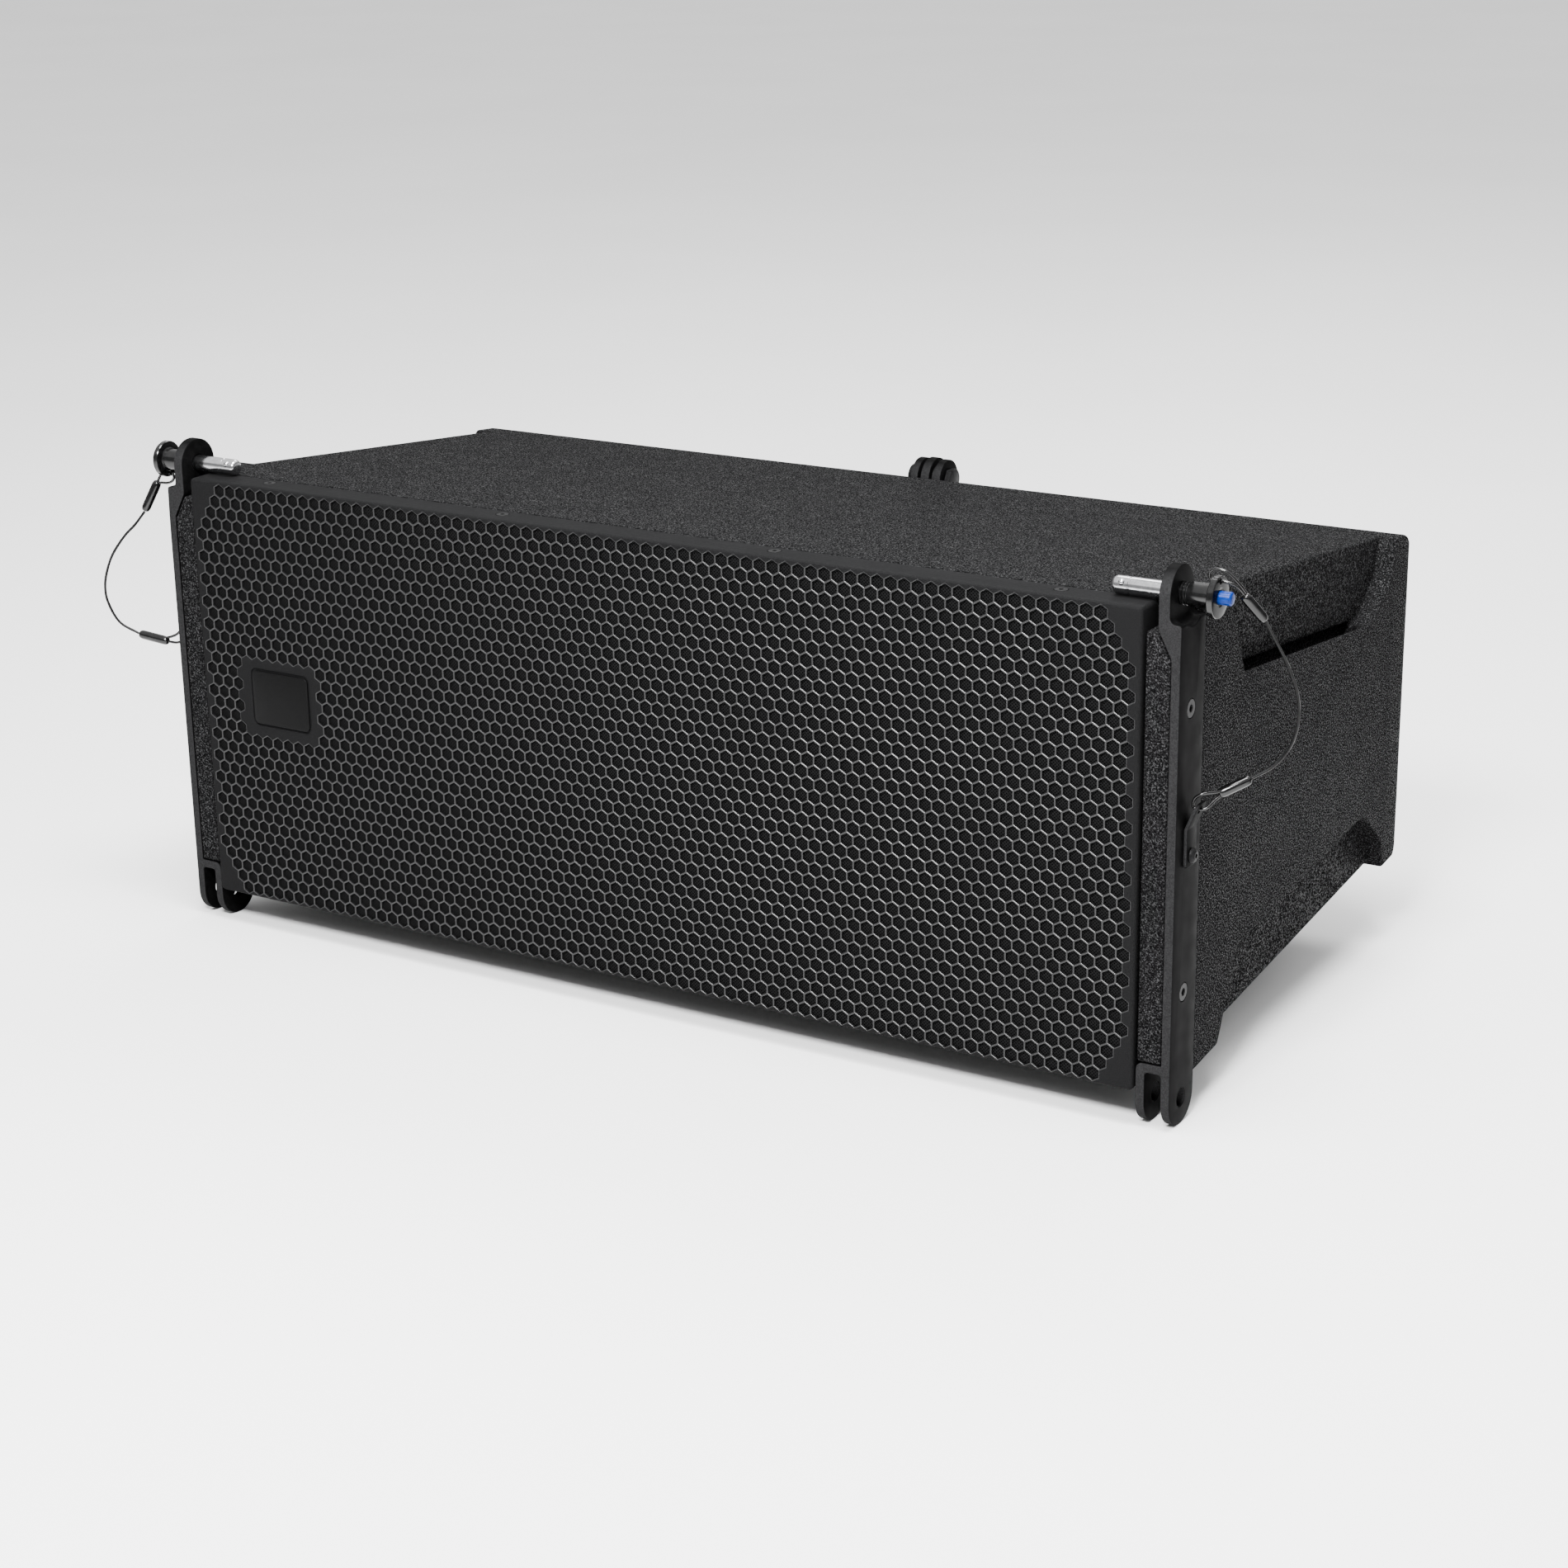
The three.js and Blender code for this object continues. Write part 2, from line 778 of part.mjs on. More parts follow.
// Each lanyard runs from an eye in its pin's flange, through a crimped ferrule, along the free wire,
// through a second ferrule, to an eye in the tag on the bar.
const lanyards = {
  right: {
    upperFerrule: [[355, 20, 137.1], [362.6, 29.2, 123.2]],
    upperEye: [
      [357, 22.2, 133.6],
      [352.5, 18.8, 140.8],
      [346.5, 17, 143.5],
      [342.3, 17, 143.5],
      [339, 17, 143.8],
      [337.8, 17, 146.4],
      [340, 17, 149],
      [346.5, 17.6, 148.4],
      [353.2, 19.6, 141.8],
      [357.8, 22.6, 133.8],
    ],
    wire: [
      [362.8, 29.5, 122.7],
      [366.6, 35.4, 111],
      [371.2, 41.8, 96.5],
      [374.5, 45.7, 82.8],
      [375.2, 47, 69.7],
      [373.3, 46.3, 58.7],
      [369.4, 44.2, 50],
      [363.8, 41, 43.5],
      [355.8, 35.7, 38.3],
    ],
    lowerFerrule: [[355.4, 35.4, 38], [342.6, 25.4, 30.8]],
    lowerEye: [
      [346.4, 28.2, 32.6],
      [342.2, 22.8, 28.6],
      [339.4, 18.4, 25],
      [335.8, 17, 24],
      [332.7, 17, 25],
      [333.4, 17, 29.6],
      [337.4, 18.6, 32.2],
      [342.4, 23.4, 32.4],
      [346.4, 28, 33.4],
    ],
  },
  left: {
    upperFerrule: [[-350.4, 16.4, 120.6], [-357.8, 10.8, 102.6]],
    upperEye: [
      [-351.8, 15, 116.6],
      [-349.4, 16.8, 122.8],
      [-346.5, 17, 126.7],
      [-342.3, 17, 126.9],
      [-339, 17, 126.6],
      [-337.8, 17, 124],
      [-339.8, 17, 121.4],
      [-343.6, 16.8, 120.1],
      [-349, 16, 119.6],
      [-352.4, 15, 115.6],
    ],
    wire: [
      [-358, 10.6, 102],
      [-363.8, 7.6, 94],
      [-371.1, 5.3, 86.5],
      [-379.2, 3, 75.5],
      [-384.4, 2.1, 65],
      [-387.6, 2.1, 54.2],
      [-387.2, 2.9, 43.5],
      [-381.3, 5.4, 31],
      [-369.6, 9, 24.4],
    ],
    lowerFerrule: [[-369, 9.2, 24.2], [-350.6, 14.6, 20.4]],
    lowerEye: [
      [-355, 13.2, 21.2],
      [-346, 15.6, 20],
      [-340.4, 16.8, 21.8],
      [-335.8, 17, 24],
      [-332.7, 17, 25.2],
      [-333.6, 17, 29.6],
      [-338.4, 16.9, 31.2],
      [-345.4, 15.8, 25],
      [-355, 13.4, 21.6],
    ],
  },
};

// A straight round bar between two points.
function barBetween([from, to], radius, segments = 10) {
  const start = new THREE.Vector3(...from);
  const direction = new THREE.Vector3(...to).sub(start);
  const turn = new THREE.Quaternion().setFromUnitVectors(unitY, direction.clone().normalize());
  return turnedY(rod(radius, 0, direction.length()), segments)
    .applyQuaternion(turn)
    .translate(...from);
}

for (const [side, route] of Object.entries(lanyards)) {
  add(`lanyard_wire_${side}`, tube(route.wire, wireRadius, 26), finishes.rubber());
  for (const [place, ferrule, eye] of [
    ['upper', route.upperFerrule, route.upperEye],
    ['lower', route.lowerFerrule, route.lowerEye],
  ]) {
    const end = join(barBetween(ferrule, ferruleRadius), tube(eye, wireRadius, 15, 6));
    add(`lanyard_end_${place}_${side}`, end, finishes.glossBlack());
  }
}

// ---------------------------------------------------------------- woofers

// Depths are measured from the mounting face, +Y into the cabinet.
const wooferParts = {
  basket: [
    [woofer.frameRadius, -4],
    [woofer.frameRadius, -clearance],
    [91.7, -clearance],
    [88, 36],
    [60, 58],
    [60, 61],
    [32, 61],
    [32, 58],
    [57, 56],
    [84.5, 34],
    [87.5, -4],
    [woofer.frameRadius, -4],
  ],
  magnet: [
    [0, 61.3],
    [25, 61.3],
    [25, 84],
    [28.5, 84],
    [28.5, 61.3],
    [58, 61.3],
    [60, 63],
    [60, 92],
    [58, 94],
    [0, 94],
  ],
  cone: [
    [0, 30],
    [12, 31.4],
    [20, 34.6],
    [26.5, 39.5],
    [woofer.coneRadius, 2.6],
    [woofer.coneRadius, 4.2],
    [woofer.coilRadius, 42],
    [woofer.coilRadius, 76],
    [26.2, 76],
    [26.2, 41],
    [19.4, 36],
    [11.6, 32.8],
    [0, 31.4],
  ],
  surround: surroundProfile(),
  spider: spiderProfile(),
};

// Half roll between the cone's edge and the rim glued to the basket.
function surroundProfile() {
  const inner = woofer.coneRadius + clearance;
  return [
    [inner, 1.5],
    [inner + 1.3, -3.6],
    [inner + 5.2, -6.4],
    [inner + 9.7, -5.6],
    [inner + 20.7, -5.3],
    [inner + 20.7, -4 - clearance],
    [inner + 10.2, -4 - clearance],
    [inner + 5.5, -5.2],
    [inner + 2.3, -3],
    [inner + 1, 1.5],
    [inner, 1.5],
  ];
}

// Corrugated ring that centres the coil in the basket.
function spiderProfile() {
  const inner = woofer.coilRadius + clearance;
  const [outer, waves, thickness] = [63, 5, 0.8];
  const front = [...Array(waves + 1)].map((_, i) => {
    const radius = inner + ((outer - inner) * i) / waves;
    return [radius, i % 2 ? 47.5 : 50];
  });
  const back = front.map(([radius, depth]) => [radius, depth + thickness]).reverse();
  return [...front, ...back, front[0]];
}

const wooferFinish = {
  basket: finishes.castMetal,
  magnet: finishes.ferrite,
  cone: finishes.paper,
  surround: finishes.rubber,
  spider: finishes.spider,
};

for (const [side, sign] of sides) {
  const driver = groupAt(sign * woofer.x, woofer.mountingFace, 0);
  for (const [part, profile] of Object.entries(wooferParts)) {
    add(`woofer_${part}_${side}`, turnedY(profile, 16), wooferFinish[part](), driver);
  }
}

// ---------------------------------------------------------------- horn and compression driver

// A four-sided taper between two rectangles of half sizes [x, z] at two depths.
function taper([x0, z0], y0, [x1, z1], y1) {
  const geometry = new THREE.BoxGeometry(2, y1 - y0, 2).translate(0, (y0 + y1) / 2, 0);
  const position = geometry.attributes.position;
  for (let i = 0; i < position.count; i++) {
    const atFront = position.getY(i) < (y0 + y1) / 2;
    position.setX(i, position.getX(i) * (atFront ? x0 : x1));
    position.setZ(i, position.getZ(i) * (atFront ? z0 : z1));
  }
  return geometry;
}

function waveguide() {
  const { flangeHalfWidth, flangeHalfHeight, mouthHalfWidth, mouthHalfHeight } = horn;
  const { throat, length, wall } = horn;
  const flange = box(
    [-flangeHalfWidth, flangeHalfWidth],
    [-4, -clearance],
    [-flangeHalfHeight, flangeHalfHeight],
  );
  const collar = throat + wall + 6;
  const outer = taper([mouthHalfWidth + wall, mouthHalfHeight + wall], -1, [collar, collar], length);
  const inner = taper([mouthHalfWidth, mouthHalfHeight], -5, [throat, throat], length + 1);
  return cut(join(flange, outer), inner);
}

function compressionDriver() {
  const start = horn.length + clearance;
  return turnedY(
    [
      [0, start + 8],
      [horn.throat, start + 6],
      [horn.throat, start],
      [26, start],
      [26, start + 5],
      [40, start + 8],
      [43, start + 14],
      [43, start + 40],
      [40, start + 46],
      [0, start + 46],
    ],
    16,
  );
}

const tweeter = groupAt(0, baffle.front, 0);
add('waveguide', waveguide(), finishes.moulding(), tweeter);
add('compression_driver', compressionDriver(), finishes.castMetal(), tweeter);

// ---------------------------------------------------------------- crossover

function crossoverBoard() {
  const board = box([-70, 70], [-1.6, 0], [-45, 45]);
  const coil = (radius, length, x, z) => turnedY(rod(radius, -length - 1, -0.8), 16).translate(x, 0, z);
  const capacitor = (x, z) => turnedX(rod(8, -20, 20), 12).translate(x, -9, z);
  return join(
    board,
    coil(20, 18, -42, 18),
    coil(17, 16, 0, 22),
    coil(14, 14, 40, -24),
    capacitor(-38, -18),
    capacitor(38, 14),
    box([-12, 12], [-16, -0.8], [-36, -20]),
  );
}

const crossover = groupAt(-150, cabinet.cavityBack - 8, 0);
add('crossover_board', crossoverBoard(), finishes.circuit(), crossover);

// ---------------------------------------------------------------- input panel

function inputPlate() {
  const plate = rectangle(inputPanel.halfWidth, inputPanel.halfHeight);
  for (const end of [-1, 1]) {
    plate.holes.push(disc(inputPanel.connectorRadius + 0.2, (end * inputPanel.connectorSpacing) / 2, 0));
  }
  return alongY(plate, [-inputPanel.thickness, 0], 10);
}

// Locking loudspeaker socket, with depths measured from the plate's outer face.
function speakerSocket() {
  const barrel = inputPanel.connectorRadius - clearance;
  return turnedY([
    [0, -16],
    [barrel, -16],
    [barrel, clearance],
    [14.5, clearance],
    [14.5, 3],
    [11, 3],
    [11, -12],
    [6, -12],
    [6, 1],
    [0, 1],
  ], 16);
}

const panel = groupAt(inputPanel.x, cabinet.back - inputPanel.recess + clearance + inputPanel.thickness, 0);
add('input_plate', inputPlate(), finishes.powderCoat(), panel);
for (const [name, end] of [
  ['input_socket', -1],
  ['link_socket', 1],
]) {
  const socket = add(name, speakerSocket(), finishes.moulding(), panel);
  socket.position.x = (end * inputPanel.connectorSpacing) / 2;
}

// ---------------------------------------------------------------- rear rigging

// Plate with two ears that the link folds between, drilled for the pivot and the pin's two places.
function rearBracket() {
  const { plateThickness, plateHalfWidth, plateHalfHeight, axisY, pivotHeight, earRadius } = rear;
  const start = cabinet.back + clearance;
  const plate = box(
    [-plateHalfWidth, plateHalfWidth],
    [start, start + plateThickness],
    [-plateHalfHeight, plateHalfHeight],
  );
  const earShape = new THREE.Shape();
  earShape.moveTo(start + 1, -plateHalfHeight);
  earShape.lineTo(axisY - earRadius + 2, rear.lowerHoleHeight);
  earShape.absarc(axisY, rear.lowerHoleHeight, earRadius, Math.PI, 2 * Math.PI);
  earShape.lineTo(axisY + earRadius, pivotHeight);
  earShape.absarc(axisY, pivotHeight, earRadius, 0, Math.PI);
  earShape.lineTo(start + 1, plateHalfHeight);
  for (const height of [pivotHeight, rear.parkedPinHeight, rear.lowerHoleHeight]) {
    earShape.holes.push(disc(pin.holeRadius, axisY, height));
  }
  const ears = sides.map(([, sign]) => onSide(sign, alongX(earShape, [rear.earInner, rear.earOuter], 6)));
  return join(plate, ...ears);
}

// Flat link hanging from the pivot, with a boss that centres it between the ears.
function rearLink() {
  const { linkRadius, linkHalfThickness, linkBoss, linkLength } = rear;
  const shape = new THREE.Shape();
  shape.moveTo(linkRadius, 0);
  shape.absarc(0, 0, linkRadius, 0, Math.PI);
  shape.lineTo(-linkRadius + 2, -linkLength);
  shape.absarc(0, -linkLength, linkRadius - 2, Math.PI, 2 * Math.PI);
  shape.holes.push(disc(pin.holeRadius, 0, -linkLength));
  const blade = alongX(shape, [-linkHalfThickness, linkHalfThickness], 6);
  const boss = turnedX(rod(9, -linkBoss, linkBoss), 16);
  const bore = turnedX(rod(pin.holeRadius, -20, 20), 16);
  return cut(join(blade, boss), bore);
}

function pivotBolt() {
  const face = rear.earOuter + clearance;
  return turnedX([
    [0, -face - 4.5],
    [7.4, -face - 4.5],
    [7.4, -face],
    [pin.shankRadius, -face],
    [pin.shankRadius, face],
    [8, face],
    [8, face + 3],
    [6.5, face + 4],
    [0, face + 4],
  ], 16);
}

add('rear_bracket', rearBracket(), finishes.blackSteel());
const rearPivot = groupAt(0, rear.axisY, rear.pivotHeight);
add('rear_link', rearLink(), finishes.blackSteel(), rearPivot);
add('link_pivot_bolt', pivotBolt(), finishes.blackSteel(), rearPivot);

const rearPinGroup = groupAt(rear.earOuter, rear.axisY, rear.parkedPinHeight);
add('pin_shank_rear', pinShank(), finishes.brightSteel(), rearPinGroup);
add('pin_handle_rear', pinHandle(), finishes.glossBlack(), rearPinGroup);
add('pin_button_rear', pinButton(), finishes.bluePlastic(), rearPinGroup);

export default assembly;
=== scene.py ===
import math

import bmesh
import bpy
from mathutils import Matrix, Vector, geometry


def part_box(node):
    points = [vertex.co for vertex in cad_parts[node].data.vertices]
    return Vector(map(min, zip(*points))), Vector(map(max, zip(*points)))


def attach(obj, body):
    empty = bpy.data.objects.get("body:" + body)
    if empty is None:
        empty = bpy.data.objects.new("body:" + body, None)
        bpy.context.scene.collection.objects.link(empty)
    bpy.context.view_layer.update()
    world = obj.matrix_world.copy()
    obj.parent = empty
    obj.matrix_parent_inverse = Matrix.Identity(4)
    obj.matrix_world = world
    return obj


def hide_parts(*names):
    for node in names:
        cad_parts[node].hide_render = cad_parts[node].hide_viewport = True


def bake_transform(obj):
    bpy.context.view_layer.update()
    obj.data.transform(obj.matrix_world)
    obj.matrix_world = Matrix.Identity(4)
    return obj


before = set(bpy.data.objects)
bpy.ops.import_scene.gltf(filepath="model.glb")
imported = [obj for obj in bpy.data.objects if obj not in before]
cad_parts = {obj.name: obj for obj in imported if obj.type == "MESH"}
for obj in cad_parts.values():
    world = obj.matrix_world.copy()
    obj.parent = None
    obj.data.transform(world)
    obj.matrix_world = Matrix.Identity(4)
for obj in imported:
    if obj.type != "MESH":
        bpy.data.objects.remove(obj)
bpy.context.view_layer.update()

# ---- the drawing's own axes

# Shapes are drawn in millimetres with y = 0 on the grille's front face and z = 0 at its middle.
grille_low, grille_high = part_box("front_grille")
DATUM = Vector((0.0, grille_low.y, (grille_low.z + grille_high.z) / 2))
MM = 0.001


def row(point):
    """A drawing point in the row's frame, in metres."""
    return Vector(point) * MM + DATUM


# ---- camera

AZIMUTH, ELEVATION, ROLL = 31.697, 18.451, -0.931
CAMERA_PLACE = (923.6, -1331.9, 527.1)
camera_data = bpy.data.cameras.new("camera")
camera_data.lens = 70.3
camera_data.sensor_width = 36.0
camera_data.clip_end = 100.0
camera = bpy.data.objects.new("camera", camera_data)
bpy.context.scene.collection.objects.link(camera)
view = Matrix.Translation(row(CAMERA_PLACE))
for angle, axis in ((AZIMUTH, "Z"), (90 - ELEVATION, "X"), (ROLL, "Z")):
    view @= Matrix.Rotation(math.radians(angle), 4, axis)
camera.matrix_world = view
bpy.context.scene.camera = camera

# ---- mesh building


def link(name, mesh):
    piece = bpy.data.objects.new(name, mesh)
    bpy.context.scene.collection.objects.link(piece)
    return piece


def from_bmesh(name, bm):
    bmesh.ops.recalc_face_normals(bm, faces=bm.faces)
    mesh = bpy.data.meshes.new(name)
    bm.to_mesh(mesh)
    bm.free()
    return link(name, mesh)


def fillet(corners, steps=8):
    """A polyline from corners (u, v, radius), with true arcs in place of the rounded ones."""
    points = []
    for i, corner in enumerate(corners):
        here = Vector(corner[:2])
        radius = corner[2] if len(corner) > 2 else 0
        if radius <= 0:
            points.append(here)
            continue
        before = (Vector(corners[i - 1][:2]) - here).normalized()
        after = (Vector(corners[(i + 1) % len(corners)][:2]) - here).normalized()
        half = before.angle(after) / 2
        start = here + before * (radius / math.tan(half))
        end = here + after * (radius / math.tan(half))
        centre = here + (before + after).normalized() * (radius / math.sin(half))
        a, b = start - centre, end - centre
        turn = math.atan2(a.x * b.y - a.y * b.x, a.dot(b))
        count = max(2, round(steps * abs(turn) / (math.pi / 2)))
        for k in range(count + 1):
            points.append(centre + Matrix.Rotation(turn * k / count, 2) @ a)
    return points


def arc(centre, radius, start, end, steps):
    """Points on an arc between two angles in degrees."""
    return [
        Vector(centre) + radius * Vector((math.cos(math.radians(a)), math.sin(math.radians(a))))
        for a in (start + (end - start) * k / steps for k in range(steps + 1))
    ]


def at_depth(loop, y):
    """A loop of (x, z) points at one depth behind the grille's face."""
    return [(p[0], y, p[1]) for p in loop]


PLACE = {
    "x": lambda u, v, h: (h, u, v),
    "y": lambda u, v, h: (u, h, v),
    "z": lambda u, v, h: (u, v, h),
}


def skin(bm, rings):
    """A closed surface through rings of vertices, with both ends filled."""
    for a, b in zip(rings, rings[1:]):
        for k in range(len(a)):
            j = (k + 1) % len(a)
            bm.faces.new((a[k], a[j], b[j], b[k]))
    bm.faces.new(rings[0])
    bm.faces.new(rings[-1])


def prism(points, axis, low, high):
    """A closed solid of one outline, extruded along an axis. Outlines are (y, z), (x, z) or (x, y)."""
    bm = bmesh.new()
    skin(bm, [[bm.verts.new(row(PLACE[axis](p[0], p[1], h))) for p in points] for h in (low, high)])
    return from_bmesh("prism", bm)


def block(x, y, z):
    """A box from its low and high x, y and z."""
    return prism([(x[0], y[0]), (x[1], y[0]), (x[1], y[1]), (x[0], y[1])], "z", *z)


def lathe(profile, axis, centre, segments=48):
    """A solid from (radius, height) points, turned round an axis line through centre."""
    bm = bmesh.new()
    middle = Vector(centre)
    rings = []
    for radius, height in profile:
        if radius < 1e-6:
            rings.append([bm.verts.new(row(middle + Vector(PLACE[axis](0, 0, height))))])
            continue
        ring = []
        for k in range(segments):
            angle = 2 * math.pi * k / segments
            offset = PLACE[axis](radius * math.cos(angle), radius * math.sin(angle), height)
            ring.append(bm.verts.new(row(middle + Vector(offset))))
        rings.append(ring)
    closed = len(rings[0]) > 1 and len(rings[-1]) > 1
    pairs = list(zip(rings, rings[1:])) + ([(rings[-1], rings[0])] if closed else [])
    for a, b in pairs:
        for k in range(segments):
            j = (k + 1) % segments
            face = [a[k % len(a)], a[j % len(a)], b[j % len(b)], b[k % len(b)]]
            face = list(dict.fromkeys(face))
            if len(face) > 2:
                bm.faces.new(face)
    return from_bmesh("turned", bm)


def rod(radius, low, high, axis, centre, segments=32):
    """A plain cylinder between two heights."""
    return lathe([(0, low), (radius, low), (radius, high), (0, high)], axis, centre, segments)


def smooth_path(points, count):
    """Evenly spaced points on a Catmull-Rom curve through the given ones."""
    pts = [Vector(p) for p in points]
    pts = [2 * pts[0] - pts[1]] + pts + [2 * pts[-1] - pts[-2]]
    dense = []
    for i in range(1, len(pts) - 2):
        for k in range(24):
            t = k / 24
            a, b, c, d = pts[i - 1 : i + 3]
            dense.append(
                0.5 * (2 * b + (c - a) * t + (2 * a - 5 * b + 4 * c - d) * t * t
                       + (3 * b - a - 3 * c + d) * t ** 3)
            )
    dense.append(pts[-2])
    lengths = [0.0]
    for a, b in zip(dense, dense[1:]):
        lengths.append(lengths[-1] + (b - a).length)
    path, k = [], 0
    for i in range(count):
        want = lengths[-1] * i / (count - 1)
        while k < len(lengths) - 2 and lengths[k + 1] < want:
            k += 1
        span = max(lengths[k + 1] - lengths[k], 1e-9)
        path.append(dense[k].lerp(dense[k + 1], (want - lengths[k]) / span))
    return path


def tube(bm, path, radii, sides, twist=0.0, ripple=0.0, strands=6):
    """Adds a closed tube with a radius at each point. Ripple and twist give the lay of a wire rope."""
    normal = (path[1] - path[0]).orthogonal().normalized()
    rings, gone = [], 0.0
    for i, point in enumerate(path):
        ahead = (path[min(i + 1, len(path) - 1)] - path[max(i - 1, 0)]).normalized()
        normal = (normal - ahead * normal.dot(ahead)).normalized()
        side = ahead.cross(normal)
        if i:
            gone += (point - path[i - 1]).length
        ring = []
        for k in range(sides):
            angle = 2 * math.pi * k / sides
            r = radii[i] * (1 - ripple * (0.5 - 0.5 * math.cos(strands * (angle - twist * gone))))
            around = math.cos(angle) * normal + math.sin(angle) * side
            ring.append(bm.verts.new(row(point + r * around)))
        rings.append(ring)
    skin(bm, rings)


def combine(target, operation, *tools):
    """Adds, cuts or keeps the common part of solids, and removes the tools."""
    for tool in tools:
        step = target.modifiers.new("boolean", "BOOLEAN")
        step.operation = operation
        step.solver = "MANIFOLD"
        step.object = tool
    evaluated = target.evaluated_get(bpy.context.evaluated_depsgraph_get())
    mesh = bpy.data.meshes.new_from_object(evaluated)
    target.modifiers.clear()
    target.data = mesh
    for tool in tools:
        bpy.data.objects.remove(tool)
    return target


def cut(target, *tools):
    """The target with all the tools cut out of it, one after the other."""
    return combine(target, "DIFFERENCE", *tools)


def bevel(piece, width, segments=3, angle=30.0, where=None):
    """Rounds the sharp edges, in millimetres. where picks edges by their middle in drawing axes."""
    bm = bmesh.new()
    bm.from_mesh(piece.data)
    bmesh.ops.remove_doubles(bm, verts=bm.verts, dist=2e-6)
    bmesh.ops.dissolve_limit(bm, angle_limit=math.radians(0.4), verts=bm.verts, edges=bm.edges)
    edges = []
    for edge in bm.edges:
        if not edge.is_manifold or edge.calc_face_angle() < math.radians(angle):
            continue
        middle = ((edge.verts[0].co + edge.verts[1].co) / 2 - DATUM) / MM
        if where is None or where(middle):
            edges.append(edge)
    bmesh.ops.bevel(
        bm, geom=edges, offset=width * MM, offset_type="OFFSET", segments=segments,
        profile=0.5, affect="EDGES", clamp_overlap=False,
    )
    bmesh.ops.remove_doubles(bm, verts=bm.verts, dist=2e-6)
    bm.to_mesh(piece.data)
    bm.free()
    return piece


def shade(piece, angle):
    """Smooth shading that keeps edges sharper than the angle."""
    bm = bmesh.new()
    bm.from_mesh(piece.data)
    for face in bm.faces:
        face.smooth = True
    for edge in bm.edges:
        edge.smooth = edge.is_manifold and edge.calc_face_angle() < math.radians(angle)
    bm.to_mesh(piece.data)
    bm.free()
    return piece


def mirrored(piece):
    """A copy on the other side of the x = 0 plane."""
    mesh = piece.data.copy()
    mesh.transform(Matrix.Scale(-1, 4, (1, 0, 0)))
    mesh.flip_normals()
    return link("mirrored", mesh)


# ---- materials


def set_inputs(node, **values):
    """Sets a node's inputs by name, with _ for a space."""
    for name, value in values.items():
        node.inputs[name.replace("_", " ")].default_value = value


class Shader:
    """A node material on a Principled surface, with textures placed by object coordinates."""

    def __init__(self, name, color, roughness, metallic=0.0, **sockets):
        self.material = bpy.data.materials.new(name)
        self.material.use_nodes = True
        self.nodes = self.material.node_tree.nodes
        self.links = self.material.node_tree.links
        self.surface = self.nodes["Principled BSDF"]
        set_inputs(self.surface, Base_Color=(*color, 1.0), Roughness=roughness, Metallic=metallic, **sockets)
        self.coordinates = self.nodes.new("ShaderNodeTexCoord").outputs["Object"]

    def pattern(self, kind, vector=None, **values):
        """A node fed with the object coordinates, or with another vector."""
        node = self.nodes.new(kind)
        set_inputs(node, **values)
        self.links.new(vector or self.coordinates, node.inputs["Vector"])
        return node

    def mapped(self, scale=(1, 1, 1), turn=(0, 0, 0)):
        return self.pattern("ShaderNodeMapping", Scale=scale, Rotation=turn).outputs["Vector"]

    def noise(self, size, detail=2.0, roughness=0.5, vector=None):
        """Fractal noise whose features are about size millimetres across."""
        return self.pattern(
            "ShaderNodeTexNoise", vector, Scale=1 / (size * MM), Detail=detail, Roughness=roughness,
        ).outputs["Fac"]

    def math(self, operation, a, b=None):
        node = self.nodes.new("ShaderNodeMath")
        node.operation = operation
        for socket, value in zip(node.inputs, (a, b)):
            if isinstance(value, float):
                socket.default_value = value
            elif value is not None:
                self.links.new(value, socket)
        return node.outputs["Value"]

    def spread(self, value, low, high, out_low, out_high):
        node = self.nodes.new("ShaderNodeMapRange")
        self.links.new(value, node.inputs["Value"])
        set_inputs(node, From_Min=low, From_Max=high, To_Min=out_low, To_Max=out_high)
        return node.outputs["Result"]

    def ramp(self, value, *stops):
        node = self.nodes.new("ShaderNodeValToRGB")
        points = node.color_ramp.elements
        while len(points) < len(stops):
            points.new(0.5)
        for point, (position, color) in zip(points, stops):
            point.position = position
            point.color = (*color, 1.0)
        self.links.new(value, node.inputs["Fac"])
        return node.outputs["Color"]

    def blend(self, share, a, b):
        """Colour a where share is 0, b where it is 1."""
        node = self.nodes.new("ShaderNodeMix")
        node.data_type = "RGBA"
        for value, socket in ((share, "Factor"), (a, 6), (b, 7)):
            self.links.new(value, node.inputs[socket])
        return node.outputs[2]

    def facing(self, axis, low, high):
        """1 on the faces that look along an axis, either way."""
        split = self.nodes.new("ShaderNodeSeparateXYZ")
        self.links.new(self.nodes.new("ShaderNodeTexCoord").outputs["Normal"], split.inputs["Vector"])
        return self.spread(self.math("ABSOLUTE", split.outputs[axis]), low, high, 0.0, 1.0)

    def drive(self, socket, value):
        self.links.new(value, self.surface.inputs[socket])

    def tones(self, pattern, low, high, start=0.3, end=0.7):
        """Colour from one tone to another, after a pattern."""
        self.drive("Base Color", self.ramp(pattern, (start, low), (end, high)))

    def rough(self, pattern, low, high):
        self.drive("Roughness", self.spread(pattern, 0.3, 0.7, low, high))

    def bump(self, height, depth, strength=1.0):
        """Relief of about depth millimetres."""
        node = self.nodes.new("ShaderNodeBump")
        set_inputs(node, Distance=depth * MM, Strength=strength)
        self.links.new(height, node.inputs["Height"])
        self.drive("Normal", node.outputs["Normal"])


def gray(value):
    return (value, value, value * 1.03)


